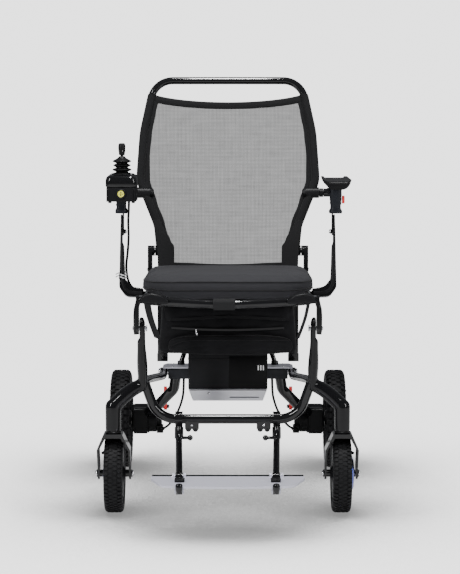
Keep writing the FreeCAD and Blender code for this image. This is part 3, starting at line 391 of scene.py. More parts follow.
def lathe(name, centre, axis, profile, body, material, turns=48, sharp=35):
    """A turned piece; the profile gives (distance along the axis, radius) in millimetres."""
    axis = Vector(axis).normalized()
    across, up = basis(axis)
    rings = []
    for along, radius in profile:
        ring = []
        for index in range(turns):
            angle = 2 * math.pi * index / turns
            spoke = across * math.cos(angle) + up * math.sin(angle)
            ring.append(Vector(centre) + axis * along * MM + spoke * max(radius, 0.01) * MM)
        rings.append(ring)
    return loft(name, rings, body, material, sharp)


def rounded_ring(centre, half_width, half_depth, radius, u, v, steps=5):
    """A rounded rectangle in the plane of u and v, as one ring of points."""
    ring = []
    for quarter, (along_u, along_v) in enumerate(((1, 1), (-1, 1), (-1, -1), (1, -1))):
        corner = (centre + u * along_u * (half_width - radius) + v * along_v
                  * (half_depth - radius))
        for step in range(steps + 1):
            angle = math.pi / 2 * (quarter + step / steps)
            ring.append(corner + (u * math.cos(angle) + v * math.sin(angle)) * radius)
    return ring


def bend_path(points, radius, sides=12):
    """A smooth NURBS tube, turned into a mesh."""
    curve = bpy.data.curves.new("path", "CURVE")
    curve.dimensions = "3D"
    spline = curve.splines.new("NURBS")
    spline.points.add(len(points) - 1)
    for target, point in zip(spline.points, points):
        target.co = (*point, 1.0)
    spline.order_u = 3
    spline.use_endpoint_u = True
    spline.resolution_u = 8
    curve.bevel_depth = radius
    curve.bevel_resolution = sides // 4
    curve.use_fill_caps = True
    holder = bpy.data.objects.new("path", curve)
    bpy.context.scene.collection.objects.link(holder)
    mesh = bpy.data.meshes.new_from_object(holder)
    bpy.data.objects.remove(holder)
    bpy.data.curves.remove(curve)
    return mesh


def along_path(name, points, radius, body, material, sides=12):
    mesh = bend_path(points, radius, sides)
    mesh.name = name
    piece = bpy.data.objects.new(name, mesh)
    bpy.context.scene.collection.objects.link(piece)
    mesh.shade_smooth()
    dress(piece, material)
    if body:
        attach(piece, body)
    return piece


def ribbon(name, points, across, width, thickness, body, material):
    """A flat strap along a smooth line; across is the direction of its width."""
    across = Vector(across).normalized()
    points = [Vector(point) for point in points]
    line = []
    for index in range(len(points) - 1):
        before, start = points[max(index - 1, 0)], points[index]
        end, after = points[index + 1], points[min(index + 2, len(points) - 1)]
        for step in range(6):
            t = step / 6
            line.append(0.5 * ((2 * start) + (end - before) * t
                               + (2 * before - 5 * start + 4 * end - after) * t * t
                               + (3 * start - before - 3 * end + after) * t ** 3))
    line.append(points[-1])
    rings = []
    for index, point in enumerate(line):
        ahead = line[min(index + 1, len(line) - 1)] - line[max(index - 1, 0)]
        outward = across.cross(ahead).normalized() * thickness / 2
        side = across * width / 2
        rim = side * 0.96
        rings.append([point + rim + outward, point + side, point + rim - outward,
                      point - rim - outward, point - side, point - rim + outward])
    return loft(name, rings, body, material, sharp=30)


def socket_screw(name, place, outward, radius, body, material="chrome"):
    """Button-head screw with a hexagon socket."""
    return lathe(name, place, outward, [
        (-1, radius * 0.9), (0, radius), (radius * 0.25, radius * 0.97),
        (radius * 0.5, radius * 0.72), (radius * 0.55, radius * 0.48),
        (radius * 0.15, radius * 0.42), (radius * 0.12, 0.0)], body, material, turns=24, sharp=50)


def skin(name, node, offset, keep, body, material):
    """A sleeve over part of a node: the faces that keep() accepts, moved outward."""
    source = bmesh.new()
    source.from_mesh(frame["nodes"][node].data)
    unwanted = [face for face in source.faces if not keep(face.calc_center_median())]
    bmesh.ops.delete(source, geom=unwanted, context="FACES")
    bmesh.ops.remove_doubles(source, verts=source.verts, dist=1e-5)
    source.normal_update()
    for vertex in source.verts:
        vertex.co += vertex.normal * offset
    mesh = bpy.data.meshes.new(name)
    source.to_mesh(mesh)
    source.free()
    piece = bpy.data.objects.new(name, mesh)
    bpy.context.scene.collection.objects.link(piece)
    mesh.shade_smooth()
    dress(piece, material)
    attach(piece, body)
    return piece


def apply_modifiers(piece):
    depsgraph = bpy.context.evaluated_depsgraph_get()
    mesh = bpy.data.meshes.new_from_object(piece.evaluated_get(depsgraph))
    piece.modifiers.clear()
    piece.data = mesh
    return piece


# ---------------------------------------------------------------------------
# wheels
# ---------------------------------------------------------------------------

def tread_block(columns, start, end, lift, taper):
    """Corner points and faces of one rubber block.  columns are (offset, radius) pairs."""
    vertices, faces = [], []
    for angle, inset in ((start, taper), (end, -taper)):
        for offset, radius in columns:
            vertices.append((offset, radius - 1.2 * MM, angle))
            vertices.append((offset, radius + lift, angle + inset))
    count = 2 * len(columns)
    for index in range(len(columns) - 1):
        low = 2 * index
        faces.append((low + 1, low + 3, count + low + 3, count + low + 1))
        faces.append((low, low + 1, low + 3, low + 2))
        faces.append((count + low, count + low + 2, count + low + 3, count + low + 1))
    faces.append((0, 1, count + 1, count))
    faces.append((count - 2, count - 1, 2 * count - 1, 2 * count - 2))
    return vertices, faces


def tyre(name, body, centre, radius, rim_radius, half_width, blocks, depth):
    """Treaded tyre: a rounded carcass with four rows of staggered blocks."""
    crown, segments = radius - depth, 96
    profile = [(-half_width * 0.80, rim_radius), (-half_width * 0.95, rim_radius + 4 * MM),
               (-half_width, rim_radius + (crown - rim_radius) * 0.45),
               (-half_width * 0.95, rim_radius + (crown - rim_radius) * 0.74),
               (-half_width * 0.74, crown - radius * 0.035),
               (-half_width * 0.4, crown - radius * 0.006), (0, crown)]
    profile += [(-offset, ring) for offset, ring in reversed(profile[:-1])]
    vertices, faces = [], []
    for index in range(segments):
        angle = 2 * math.pi * index / segments
        for offset, ring in profile:
            vertices.append((centre.x + offset, centre.y + ring * math.cos(angle),
                             centre.z + ring * math.sin(angle)))
    count = len(profile)
    for index in range(segments):
        after = (index + 1) % segments
        for column in range(count - 1):
            faces.append((index * count + column, index * count + column + 1,
                          after * count + column + 1, after * count + column))
        faces.append((index * count, after * count, after * count + count - 1,
                      index * count + count - 1))
    shoulder = [(0.985, 0.70), (0.90, 0.86), (0.70, 0.985), (0.50, 1.0)]
    rows = [([(side * half_width * across, rim_radius + (crown - rim_radius) * up)
              for across, up in shoulder], shift) for side, shift in ((-1, 0.0), (1, 0.5))]
    for side, shift in ((-1, 0.5), (1, 0.0)):
        rows.append(([(side * half_width * 0.42, crown), (side * half_width * 0.05, crown)],
                     shift))
    pitch = 2 * math.pi / blocks
    for columns, shift in rows:
        for index in range(blocks):
            start = (index + shift) * pitch
            corners, sides = tread_block(columns, start, start + pitch * 0.66, depth,
                                         pitch * 0.05)
            base = len(vertices)
            for offset, ring, angle in corners:
                vertices.append((centre.x + offset, centre.y + ring * math.cos(angle),
                                 centre.z + ring * math.sin(angle)))
            faces += [tuple(base + corner for corner in face) for face in sides]
    piece = piece_from(name, vertices, faces, body, "tyre")
    piece.data.set_sharp_from_angle(angle=math.radians(32))
    return piece


def wheels():
    for name, side in SIDES:
        for kind, body, spin, blocks, depth in (
                ("caster", "caster_wheel_" + name, "caster_spin_" + name, 54, 1.3 * MM),
                ("drive", "drive_wheel_" + name, "drive_spin_" + name, 46, 2.4 * MM)):
            low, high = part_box("%s_tyre_%s" % (kind, name))
            rim_low, rim_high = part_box("%s_rim_%s" % (kind, name))
            centre = PLACE[spin]
            radius = (high[2] - low[2]) / 2
            rim_radius = (rim_high[2] - rim_low[2]) / 2
            piece = tyre("%s_treaded_tyre_%s" % (kind, name), body, centre, radius,
                         rim_radius, (high[0] - low[0]) / 2, blocks, depth)
            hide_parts("%s_tyre_%s" % (kind, name))
            face = centre + Vector((side * (rim_high[0] - rim_low[0]) / 2 * 0.8, 0, 0))
            valve = centre + Vector((side * 14 * MM, 0, rim_radius - 9 * MM))
            lathe("%s_valve_%s" % (kind, name), valve, (side, 0, -0.6),
                  [(0, 2.6), (9, 2.6), (9.2, 3.2), (17, 3.2), (18, 2.4)], body, "rubber",
                  turns=16)
            if kind == "drive":
                hub_cap(name, side, face)
            else:
                lathe("caster_ring_" + name, centre + Vector((side * 22.6 * MM, 0, 0)),
                      (side, 0, 0), [(0, 36.6), (0.5, 37.4), (0.9, 37.4), (0.9, 34.6),
                                     (0.5, 34.6), (0, 34.6)], body, "chrome")
                lathe("caster_backing_" + name, centre, (-side, 0, 0),
                      [(17.0, 9), (17.0, 61), (18.4, 61), (19.4, 56), (19.4, 24), (24.9, 13.8),
                       (24.9, 9)], body, "black_plastic")
                reach = 29.6 if side > 0 else 25.6
                lathe("caster_dome_" + name, centre, (side, 0, 0),
                      [(22.8, 10), (22.8, 43), (23.8, 42.6), (reach - 1.6, 34),
                       (reach - 0.2, 22), (reach, 10)], body, "blue_rim")
                for end in (-1, 1):
                    socket_screw("caster_axle_screw_%s_%s" % (name, "in" if end < 0 else "out"),
                                 centre + Vector((end * 40.2 * MM, 0, 0)), (end, 0, 0), 7.5,
                                 "caster_" + name)


def hub_cap(name, side, face):
    """Five wheel bolts in a ring round the hub's centre."""
    body = "drive_wheel_" + name
    centre = Vector((side * (abs(face.x) + 0.004), face.y, face.z))
    for index in range(5):
        angle = 2 * math.pi * index / 5
        spot = Vector((centre.x - side * 4.5 * MM, centre.y + 19 * MM * math.cos(angle),
                       centre.z + 19 * MM * math.sin(angle)))
        socket_screw("wheel_bolt_%s_%d" % (name, index), spot, (side, 0, 0), 3.2, body)


# ---------------------------------------------------------------------------
# front frame
# ---------------------------------------------------------------------------

def smooth_moulding(name, node, body, material, voxel, rounds):
    """A copy of a CAD node whose hard junctions are melted into one moulded form."""
    piece = bpy.data.objects.new(name, frame["nodes"][node].data.copy())
    bpy.context.scene.collection.objects.link(piece)
    remesh = piece.modifiers.new("melt", "REMESH")
    remesh.mode = "VOXEL"
    remesh.voxel_size = voxel
    relax = piece.modifiers.new("relax", "SMOOTH")
    relax.factor = 0.5
    relax.iterations = rounds
    apply_modifiers(piece)
    piece.data.shade_smooth()
    dress(piece, material)
    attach(piece, body)
    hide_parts(node)
    return piece


def front_frame():
    for name, side in SIDES:
        smooth_moulding("carbon_leg_" + name, "front_leg_" + name, "front_frame", "carbon",
                        0.0026, 14)
        hinge = PLACE["seat_lift"]
        spot = Vector((side * 213.0 * MM, hinge.y, hinge.z))
        socket_screw("hinge_screw_" + name, spot, (side, 0, 0), 4.6, "seat", "steel")
        stem = PLACE["caster_swivel_" + name]
        lathe("stem_seal_" + name, Vector((stem.x, stem.y, 0.1930)), (0, 0, 1),
              [(-0.6, 17.4), (0.4, 18.4), (2.2, 18.4), (2.8, 17.8)], "front_frame", "rubber")
        collar = PLACE["frame_fold"] + Vector((side * 146 * MM, 0, 0))
        lathe("side_arm_washer_" + name, collar, (side, 0, 0),
              [(0, 6.4), (0, 9.4), (2.4, 9.4), (2.4, 6.4)], "front_frame", "chrome", turns=32)
        socket_screw("pivot_screw_" + name, PLACE["frame_fold"] + Vector((side * 0.166, 0, 0)),
                     (side, 0, 0), 8.2, "front_frame")
    crossbar_details()
    battery_details()
    casing_details()


def crossbar_details():
    """Clamp rings of the footrest and the screws of its catches."""
    centre = PLACE["footrest_fold"]
    for name, side in SIDES:
        for offset in (104.2, 119.0):
            lathe("clamp_lip_%s_%d" % (name, offset), centre + Vector((side * offset * MM, 0, 0)),
                  (side, 0, 0), [(-0.9, 17.0), (-0.9, 17.5), (0.9, 17.5), (0.9, 17.0)],
                  "legrest", "gloss_black", turns=40)
        screw = centre + Vector((side * 82 * MM, -9.4 * MM, -13 * MM))
        socket_screw("catch_screw_" + name, screw, (0, -1, 0), 3.0, "front_frame")


def battery_details():
    """Pack face: a dark right half, a charge bar print and a carrying strap; a lid bead, a tray
    screw and trim.
    """
    low, high = (Vector(corner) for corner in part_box("battery_pack"))
    middle = (low.x + high.x) / 2
    front = low.y
    height = high.z - low.z
    centre = Vector(((middle + high.x) / 2 + 0.5 * MM, front - 0.4 * MM, low.z + height * 0.47))
    half = (high.x - middle) / 2 - 1.5 * MM
    u, v = Vector((1, 0, 0)), Vector((0, 0, 1))
    rings = [rounded_ring(centre + Vector((0, depth, 0)), half - inset,
                          height * 0.46 - inset, 2.5 * MM, u, v)
             for depth, inset in ((0.0016, 0), (0.0002, 0), (-0.0003, 0.0008))]
    loft("battery_window", rings, "battery", "window")
    for index in range(3):
        spot = Vector((high.x - 22 * MM + index * 6 * MM, front - 0.8 * MM,
                       low.z + height * 0.60))
        rings = [rounded_ring(spot + Vector((0, depth, 0)), 1.3 * MM, 6.0 * MM, 0.8 * MM, u, v, 3)
                 for depth in (0.0006, -0.0001)]
        loft("charge_bar_%d" % index, rings, "battery", "white_print")
    seam = [rounded_ring(Vector((middle, (low.y + high.y) / 2, z)), (high.x - low.x) / 2 + grow,
                         (high.y - low.y) / 2 + grow, 6 * MM, Vector((1, 0, 0)),
                         Vector((0, 1, 0)))
            for z, grow in ((high.z - 15 * MM, 0.0), (high.z - 14.6 * MM, 0.0006),
                            (high.z - 12.4 * MM, 0.0006), (high.z - 12 * MM, 0.0))]
    loft("battery_lid_bead", seam, "battery", "black_plastic")
    ribbon("battery_strap", [(middle - 0.055, front + 0.014, high.z + 0.0002),
                             (middle - 0.03, front + 0.014, high.z + 0.0008),
                             (middle + 0.03, front + 0.014, high.z + 0.0008),
                             (middle + 0.055, front + 0.014, high.z + 0.0002)],
           (0, 1, 0), 0.018, 0.001, "battery", "webbing")
    tray_low = Vector(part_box("battery_tray")[0])
    socket_screw("tray_screw", Vector((-46 * MM, tray_low.y - 0.2 * MM, tray_low.z + 17 * MM)),
                 (0, -1, 0), 3.6, "front_frame")
    along_path("tray_trim", [(-90 * MM, tray_low.y - 0.4 * MM, 259.6 * MM),
                             (0, tray_low.y - 0.4 * MM, 259.6 * MM),
                             (90 * MM, tray_low.y - 0.4 * MM, 259.6 * MM)],
               0.0009, "front_frame", "gloss_black")


def casing_details():
    """Screws in the casing's lid and a bead round its joint."""
    low, high = (Vector(corner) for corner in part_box("controller_cover"))
    for x in (-0.135, -0.05, 0.05, 0.135):
        for y in (low.y + 8 * MM, high.y - 8 * MM):
            socket_screw("lid_screw_%d_%d" % (x * 1000, y * 1000), Vector((x, y, high.z)),
                         (0, 0, 1), 2.6, "front_frame")
    shell_low, shell_high = (Vector(corner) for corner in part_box("controller_housing"))
    rings = [rounded_ring(Vector((0, (low.y + high.y) / 2, low.z - drop)),
                          shell_high.x + grow, (shell_high.y - shell_low.y) / 2 + grow,
                          5 * MM, Vector((1, 0, 0)), Vector((0, 1, 0)))
             for drop, grow in ((0.0002, 0.0007), (0.0022, 0.0007))]
    loft("casing_joint", rings, "front_frame", "rubber")


# ---------------------------------------------------------------------------
# seat
# ---------------------------------------------------------------------------

def simulate_pad(piece, pressure, limit, frames=20):
    """Blow a remeshed copy up with cloth pressure, and keep every point near its start."""
    scene = bpy.context.scene
    start = [vertex.co.copy() for vertex in piece.data.vertices]
    cloth = piece.modifiers.new("swell", "CLOTH")
    cloth.settings.quality = 4
    cloth.settings.mass = 0.3
    cloth.settings.tension_stiffness = 18
    cloth.settings.compression_stiffness = 18
    cloth.settings.bending_stiffness = 1.4
    cloth.settings.use_pressure = True
    cloth.settings.uniform_pressure_force = pressure
    cloth.settings.effector_weights.gravity = 0
    cloth.point_cache.frame_start = 1
    cloth.point_cache.frame_end = frames
    for step in range(1, frames + 1):
        scene.frame_set(step)
    apply_modifiers(piece)
    scene.frame_set(1)
    for vertex, before in zip(piece.data.vertices, start):
        shift = vertex.co - before
        if shift.length > limit:
            vertex.co = before + shift * (limit / shift.length)


def cushion_shape():
    """Box of the cushion and the frame of its sloping plane."""
    low, high = (Vector(corner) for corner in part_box("seat_cushion"))
    tilt = Matrix.Rotation(math.radians(-1.9), 3, "X")
    return (low + high) / 2, high - low, tilt


def seat_cushion():
    """Upholstered cushion: crowned top, rounder front corners, a sling dip underneath and piped
    seams.
    """
    centre, size, tilt = cushion_shape()
    half_x, half_y = size.x / 2 + 6 * MM, 0.2062
    top, bottom = 0.0155, -0.0185
    rings = []
    for height, inset in ((bottom, 0.012), (bottom + 0.002, 0.004), (bottom + 0.008, 0.0),
                          (top - 0.011, 0.0), (top - 0.003, 0.005), (top, 0.016)):
        ring = []
        for corner_x, corner_y, radius in ((1, 1, 0.035), (-1, 1, 0.035), (-1, -1, 0.085),
                                           (1, -1, 0.085)):
            first = {(1, 1): 0, (-1, 1): 1, (-1, -1): 2, (1, -1): 3}[(corner_x, corner_y)]
            for step in range(13):
                angle = math.pi / 2 * (first + step / 12)
                radius_now = radius - inset
                point = Vector((corner_x * (half_x - radius) + radius_now * math.cos(angle),
                                corner_y * (half_y - radius) + radius_now * math.sin(angle),
                                height))
                ring.append(centre + tilt @ point)
        rings.append(ring)
    piece = loft("padded_cushion", rings, "seat", "cushion_fabric", sharp=180)
    remesh = piece.modifiers.new("even", "REMESH")
    remesh.mode = "VOXEL"
    remesh.voxel_size = 0.0055
    apply_modifiers(piece)
    simulate_pad(piece, 4.0, 0.0065)
    inverse = tilt.transposed()
    for vertex in piece.data.vertices:
        local = inverse @ (vertex.co - centre)
        fade = max(0.0, 1 - (local.x / half_x) ** 2) * max(0.0, 1 - (local.y / half_y) ** 2)
        if local.z > 0:
            local.z += 0.005 * fade
        local.z = max(local.z, bottom - 0.001)
        sling = 1 - max(0.0, min(1.0, (abs(local.x) - 0.145) / 0.026))
        if local.z < 0.004:
            local.z -= 0.011 * sling * (0.004 - local.z) / 0.0225
        vertex.co = centre + tilt @ local
    subdivide = piece.modifiers.new("finer", "SUBSURF")
    subdivide.levels = 1
    apply_modifiers(piece)
    piece.data.shade_smooth()
    dress(piece, "cushion_fabric")
    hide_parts("seat_cushion")
    for label, height in (("upper", 0.0125), ("lower", -0.0120)):
        cushion_piping(label, piece, centre, tilt, half_x, half_y, height)


def cushion_piping(label, cushion, centre, tilt, half_x, half_y, height):
    """Sewn welt all round the cushion, laid on the surface of the cover."""
    surface = BVHTree.FromPolygons([vertex.co for vertex in cushion.data.vertices],
                                   [polygon.vertices for polygon in cushion.data.polygons])
    points = []
    for corner_x, corner_y, radius, first in ((1, 1, 0.035, 0), (-1, 1, 0.035, 1),
                                              (-1, -1, 0.085, 2), (1, -1, 0.085, 3)):
        for step in range(11):
            angle = math.pi / 2 * (first + step / 10)
            local = Vector((corner_x * (half_x - radius) + (radius + 0.004) * math.cos(angle),
                            corner_y * (half_y - radius) + (radius + 0.004) * math.sin(angle),
                            height))
            if points:
                gap = local - points[-1]
                count = int(gap.length / 0.02)
                points += [points[-1] + gap * (part + 1) / (count + 1) for part in range(count)]
            points.append(local)
    points.append(points[0])
    line = []
    for local in points:
        spot, outward, _, _ = surface.find_nearest(centre + tilt @ local)
        line.append(spot + outward * 0.0004)
    along_path("cushion_welt_" + label, line, 0.0015, "seat", "webbing")


def soft_box(name, low, high, sag, seed, body="seat", power=5.0, steps=26):
    """A stuffed cloth box: bulged faces, a sagging floor, ripples and hanging creases."""
    centre, half = (low + high) / 2, (high - low) / 2
    vertices, index_of, faces = [], {}, []

    def surface(u, v, w):
        length = (abs(u) ** power + abs(v) ** power + abs(w) ** power) ** (1 / power)
        u, v, w = u / length, v / length, w / length
        drop = sag * (1 - u * u) * (0.5 - 0.5 * w)
        ripple = 0.020 * math.sin(9 * u + 5 * w + seed) + 0.014 * math.sin(17 * u - 11 * w)
        crease = 0.05 * math.exp(-((w + 0.55 * abs(u) - 0.1) / 0.09) ** 2)
        fold = 0.035 * math.exp(-((u - 0.5 * w - 0.35) / 0.06) ** 2)
        depth = v * (1 + ripple - (crease + fold if v < 0 else 0.0))
        return Vector((centre.x + half.x * u * (1 - 0.03 * w), centre.y + half.y * 0.97 * depth,
                       centre.z + half.z * (w * 0.98 - drop)))

    def corner(u, v, w):
        key = (round(u, 5), round(v, 5), round(w, 5))
        if key not in index_of:
            index_of[key] = len(vertices)
            vertices.append(surface(u, v, w))
        return index_of[key]

    for axis in range(3):
        for sign in (-1, 1):
            for row in range(steps):
                for column in range(steps):
                    square = []
                    for a, b in ((0, 0), (1, 0), (1, 1), (0, 1)):
                        values = [0, 0, 0]
                        values[axis] = sign
                        values[(axis + 1) % 3] = -1 + 2 * (row + a) / steps
                        values[(axis + 2) % 3] = -1 + 2 * (column + b) / steps
                        square.append(corner(*values))
                    faces.append(tuple(square))
    return piece_from(name, vertices, faces, body, "bag_fabric")


def storage_bag():
    """Nylon bag slung under the seat, with a front pocket, a flap and a zip."""
    low, high = (Vector(corner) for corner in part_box("storage_bag"))
    front = low.y + 22 * MM
    bag = soft_box("nylon_bag", Vector((low.x, front, low.z)), high, 0.02, 2.0, power=14.0)
    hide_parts("storage_bag")
    pocket_low = Vector((-139 * MM, low.y - 1 * MM, low.z + 1 * MM))
    pocket_high = Vector((151 * MM, front + 20 * MM, low.z + 47 * MM))
    soft_box("bag_pocket", pocket_low, pocket_high, 0.0, 5.0, power=3.6)
    seam = []
    for step in range(13):
        t = step / 12
        x = pocket_low.x + 6 * MM + (pocket_high.x - pocket_low.x - 14 * MM) * t
        bow = min(1.0, t / 0.14) ** 0.5
        seam.append((x, low.y + (3.5 - 3.4 * bow) * MM, pocket_high.z - (24 - 14 * bow) * MM))
    along_path("pocket_seam", seam, 0.0011, "seat", "webbing")
    flap_left, flap_right = low.x + 9 * MM, high.x - 9 * MM
    top, drop = high.z - 6 * MM, 34 * MM
    rows, columns = 9, 34
    flap = []
    for row in range(rows):
        for column in range(columns):
            across = column / (columns - 1)
            down = row / (rows - 1)
            x = flap_left + (flap_right - flap_left) * across
            z = top - drop * (0.9 + 0.1 * math.cos(6 * across)) * down
            billow = 0.0026 * math.sin(7.3 * across * math.pi) * down
            y = front - 0.0042 - 0.0028 * math.sin(math.pi * min(1.0, down * 1.15)) - billow
            y += 0.016 * max(0.0, abs(2 * across - 1) - 0.90) / 0.10
            flap.append((x, y, z))
    cover = piece_from("bag_flap", flap, grid_faces(rows, columns), "seat", "bag_fabric")
    thicken(cover, 0.0016)
    hem = [(flap_left + (flap_right - flap_left) * t, front - 0.0078,
            top - drop * (0.9 + 0.1 * math.cos(6 * t)) + 0.0035)
           for t in (0.05, 0.2, 0.35, 0.5, 0.65, 0.8, 0.95)]
    ribbon("bag_flap_hem", hem, (0, 0, 1), 0.006, 0.0012, "seat", "webbing")
    zip_line = [(flap_left + (flap_right - flap_left) * t, front - 0.0016,
                 top - drop * 1.45 - 0.006 * math.sin(math.pi * t))
                for t in (0.06, 0.25, 0.45, 0.65, 0.85, 0.94)]
    ribbon("bag_zip", zip_line, (0, 0, 1), 0.005, 0.0016, "seat", "gloss_black")
    lathe("bag_zip_pull", Vector(zip_line[1]) + Vector((0, -0.0018, 0)), (0.2, 0, -1),
          [(0, 2.2), (4, 1.4), (10, 2.6), (16, 2.6), (18, 1.6)], "seat", "chrome", turns=16)


def thicken(piece, thickness):
    """Give an open sheet its thickness, with a soft edge."""
    solid = piece.modifiers.new("thick", "SOLIDIFY")
    solid.thickness = thickness
    solid.offset = 0
    finer = piece.modifiers.new("finer", "SUBSURF")
    finer.levels = 1
    apply_modifiers(piece)
    piece.data.shade_smooth()


def seat_straps():
    """Webbing round the seat's front corners, a pull strap and the frame's small fittings."""
    low = Vector(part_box("seat_frame")[0])
    hinge = PLACE["seat_lift"]
    front = low.y
    radius = 10 * MM
    bar = [vertex.co for vertex in frame["nodes"]["seat_frame"].data.vertices
           if abs(vertex.co.x) < 0.06 and vertex.co.y < front + 2 * radius]
    bar_z = (min(point.z for point in bar) + max(point.z for point in bar)) / 2
    loop = []
    for step in range(15):
        angle = math.radians(130 - 300 * step / 14)
        loop.append((-8 * MM, front + radius - (radius + 1.2 * MM) * math.sin(angle),
                     bar_z + (radius + 1.2 * MM) * math.cos(angle)))
    ribbon("pull_strap_loop", loop, (1, 0, 0), 0.050, 0.0016, "seat", "webbing")
    ribbon("pull_strap_tail", [(-8 * MM, front - 0.0020, bar_z + 5 * MM),
                               (-8 * MM, front - 0.0032, bar_z - 4 * MM),
                               (-8 * MM, front - 0.0040, bar_z - 12 * MM)],
           (1, 0, 0), 0.048, 0.0016, "seat", "webbing")
    for name, side in SIDES:
        width = 0.009 if side > 0 else 0.018
        strap = [(side * 180 * MM, front - 1.5 * MM, bar_z + 9 * MM),
                 (side * 179 * MM, front - 3.0 * MM, bar_z - 4 * MM),
                 (side * 172 * MM, front + 4 * MM, bar_z - 36 * MM),
                 (side * 158 * MM, front + 26 * MM, bar_z - 80 * MM)]
        ribbon("corner_webbing_" + name, strap, (0.9, 0, 0.35 * side), width, 0.0018, "seat",
               "webbing")
        bracket = []
        for x, z, half, turn in (
                (207.6, hinge.z - 13 * MM, 4.0, 0), (208.0, hinge.z, 5.0, 0),
                (208.0, hinge.z + 30 * MM, 5.0, 0), (206.6, bar_z - 13 * MM, 5.4, 6),
                (202.0, bar_z + 3 * MM, 6.2, 30), (195.0, bar_z + 9 * MM, 6.2, 62),
                (187.0, bar_z + 9 * MM, 6.0, 90)):
            angle = math.radians(turn)
            bracket.append(rounded_ring(
                Vector((side * x * MM, hinge.y - 1 * MM, z)), half * MM, 12 * MM, half * 0.8 * MM,
                Vector((side * math.cos(angle), 0, math.sin(angle))), Vector((0, 1, 0)), 6))
        loft("hinge_bracket_" + name, bracket, "seat", "gloss_black", sharp=70)
        corner = [rounded_ring(Vector((side * x * MM, front + 8 * MM, bar_z + rise * MM)),
                               high_half * MM, 14 * MM, 5 * MM, Vector((0, 0, 1)),
                               Vector((0, 1, 0)), 5)
                  for x, rise, high_half in ((196, 9, 6), (186, 13, 11), (170, 14, 12),
                                             (150, 12, 10), (134, 7, 5))]
        loft("corner_moulding_" + name, corner, "seat", "black_plastic", sharp=70)
        for index, (x, y) in enumerate(((186, -3), (193, 4), (180, 2))):
            socket_screw("corner_screw_%s_%d" % (name, index),
                         Vector((side * x * MM, hinge.y - 14 * MM, bar_z + (8 + y) * MM)),
                         (0, -1, 0.3), 2.6, "seat")
        for label, z in (("low", 0.490), ("high", 0.518)):
            socket_screw("bracket_screw_%s_%s" % (label, name),
                         Vector((side * 200.3 * MM, 0.240, z)), (side, 0, 0), 4.2, "seat")


# ---------------------------------------------------------------------------
# backrest
# ---------------------------------------------------------------------------

def back_plane():
    """Origin and upward direction of the backrest's own plane."""
    lean = math.radians(13)
    return PLACE["backrest_fold"], Vector((0, math.sin(lean), math.cos(lean)))


def panel_half_width(rise):
    """Half width of the woven panel at a height in millimetres above the pivots."""
    stations = [(-48, 146), (14, 147), (26, 161), (70, 173), (125, 195), (178, 214),
                (240, 215), (300, 209), (350, 199), (400, 186)]
    for (low, first), (high, second) in zip(stations, stations[1:]):
        if rise <= high:
            share = max(0.0, (rise - low) / (high - low))
            smooth = share * share * (3 - 2 * share)
            return first + (second - first) * (0.5 * share + 0.5 * smooth)
    return stations[-1][1]


def panel_point(across, share, lift=0.0):
    """A point of the panel: across -1..1, share 0 at the bottom to 1 at the top edge."""
    base, up = back_plane()
    away = Vector((0, math.cos(math.radians(13)), -math.sin(math.radians(13))))
    top = 398 - 20 * (1 - across * across) ** 0.8
    bottom = -46 - 2 * math.cos(across * math.pi)
    rise = bottom + (top - bottom) * share
    half = panel_half_width(rise)
    hollow = 0.011 * (1 - across * across) * math.sin(math.pi * min(1.0, share * 0.92 + 0.06))
    return (base + up * rise * MM + Vector((across * half * MM, 0, 0)) + away * (hollow + lift))


def back_panel():
    """Open mesh stretched between the sleeves, hollowed a little, with bound edges."""
    rows, columns = 64, 48
    points = [panel_point(-1 + 2 * column / (columns - 1), row / (rows - 1))
              for row in range(rows) for column in range(columns)]
    panel = piece_from("woven_panel", points, grid_faces(rows, columns), "backrest",
                       "mesh_fabric")
    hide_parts("back_mesh")
    strips = [("top", [(-1 + 2 * i / 40, 1 - 0.044 * band) for band in (0, 1) for i in range(41)],
               41),
              ("bottom", [(-1 + 2 * i / 40, 0.035 * band) for band in (0, 1) for i in range(41)],
               41)]
    for label, edge, columns in strips:
        points = [panel_point(across, share, -0.0012) for across, share in edge]
        strip = piece_from("panel_hem_" + label, points, grid_faces(2, columns), "backrest",
                           "sleeve")
        thicken(strip, 0.0034)
    for name, side in SIDES:
        points = [panel_point(side * (1 - 0.09 * band), row / 60, -0.0010)
                  for band in (0, 1) for row in range(61)]
        strip = piece_from("panel_edge_" + name, points, grid_faces(2, 61), "backrest", "sleeve")
        thicken(strip, 0.0030)


def back_sleeves():
    """Cloth tunnels that the back tubes run through, and end caps of the pivots."""
    base, up = back_plane()

    def rise_of(point):
        return (point - base).dot(up)

    for name, side in SIDES:
        skin("back_sleeve_" + name, "back_frame", 0.0013,
             lambda point, side=side: point.x * side > 0.12 and 0.022 < rise_of(point) < 0.398
             and not (0.126 < rise_of(point) < 0.168 and point.x * side > 0.3),
             "backrest", "sleeve")
        pivot = base + Vector((side * 0.1500, 0, 0))
        socket_screw("back_pivot_screw_" + name, pivot, (-side, 0, 0), 6.0, "seat")
        tail = [rounded_ring(Vector((side * x * MM, ahead * MM, 0)) + base + up * rise * MM,
                             half * MM, 1.8 * MM, 1.4 * MM, Vector((1, 0, 0)),
                             Vector((0, 1, 0)), 3)
                for x, ahead, rise, half in ((179, -12, 78, 7), (172, -15, 60, 12),
                                             (163, -18, 36, 17), (156, -19, 10, 20),
                                             (154, -18, -46, 20))]
        loft("sleeve_tail_" + name, tail, "backrest", "sleeve")
        clamp = PLACE["arm_flip"].copy()
        clamp.x = side * 186 * MM
        lathe("sleeve_clamp_" + name, clamp, (side, 0, 0),
              [(0, 7), (1.5, 9.5), (6, 11.5), (13, 12.5), (22, 12.5)], "backrest",
              "black_plastic", 32)


# ---------------------------------------------------------------------------
# arms and joystick
# ---------------------------------------------------------------------------

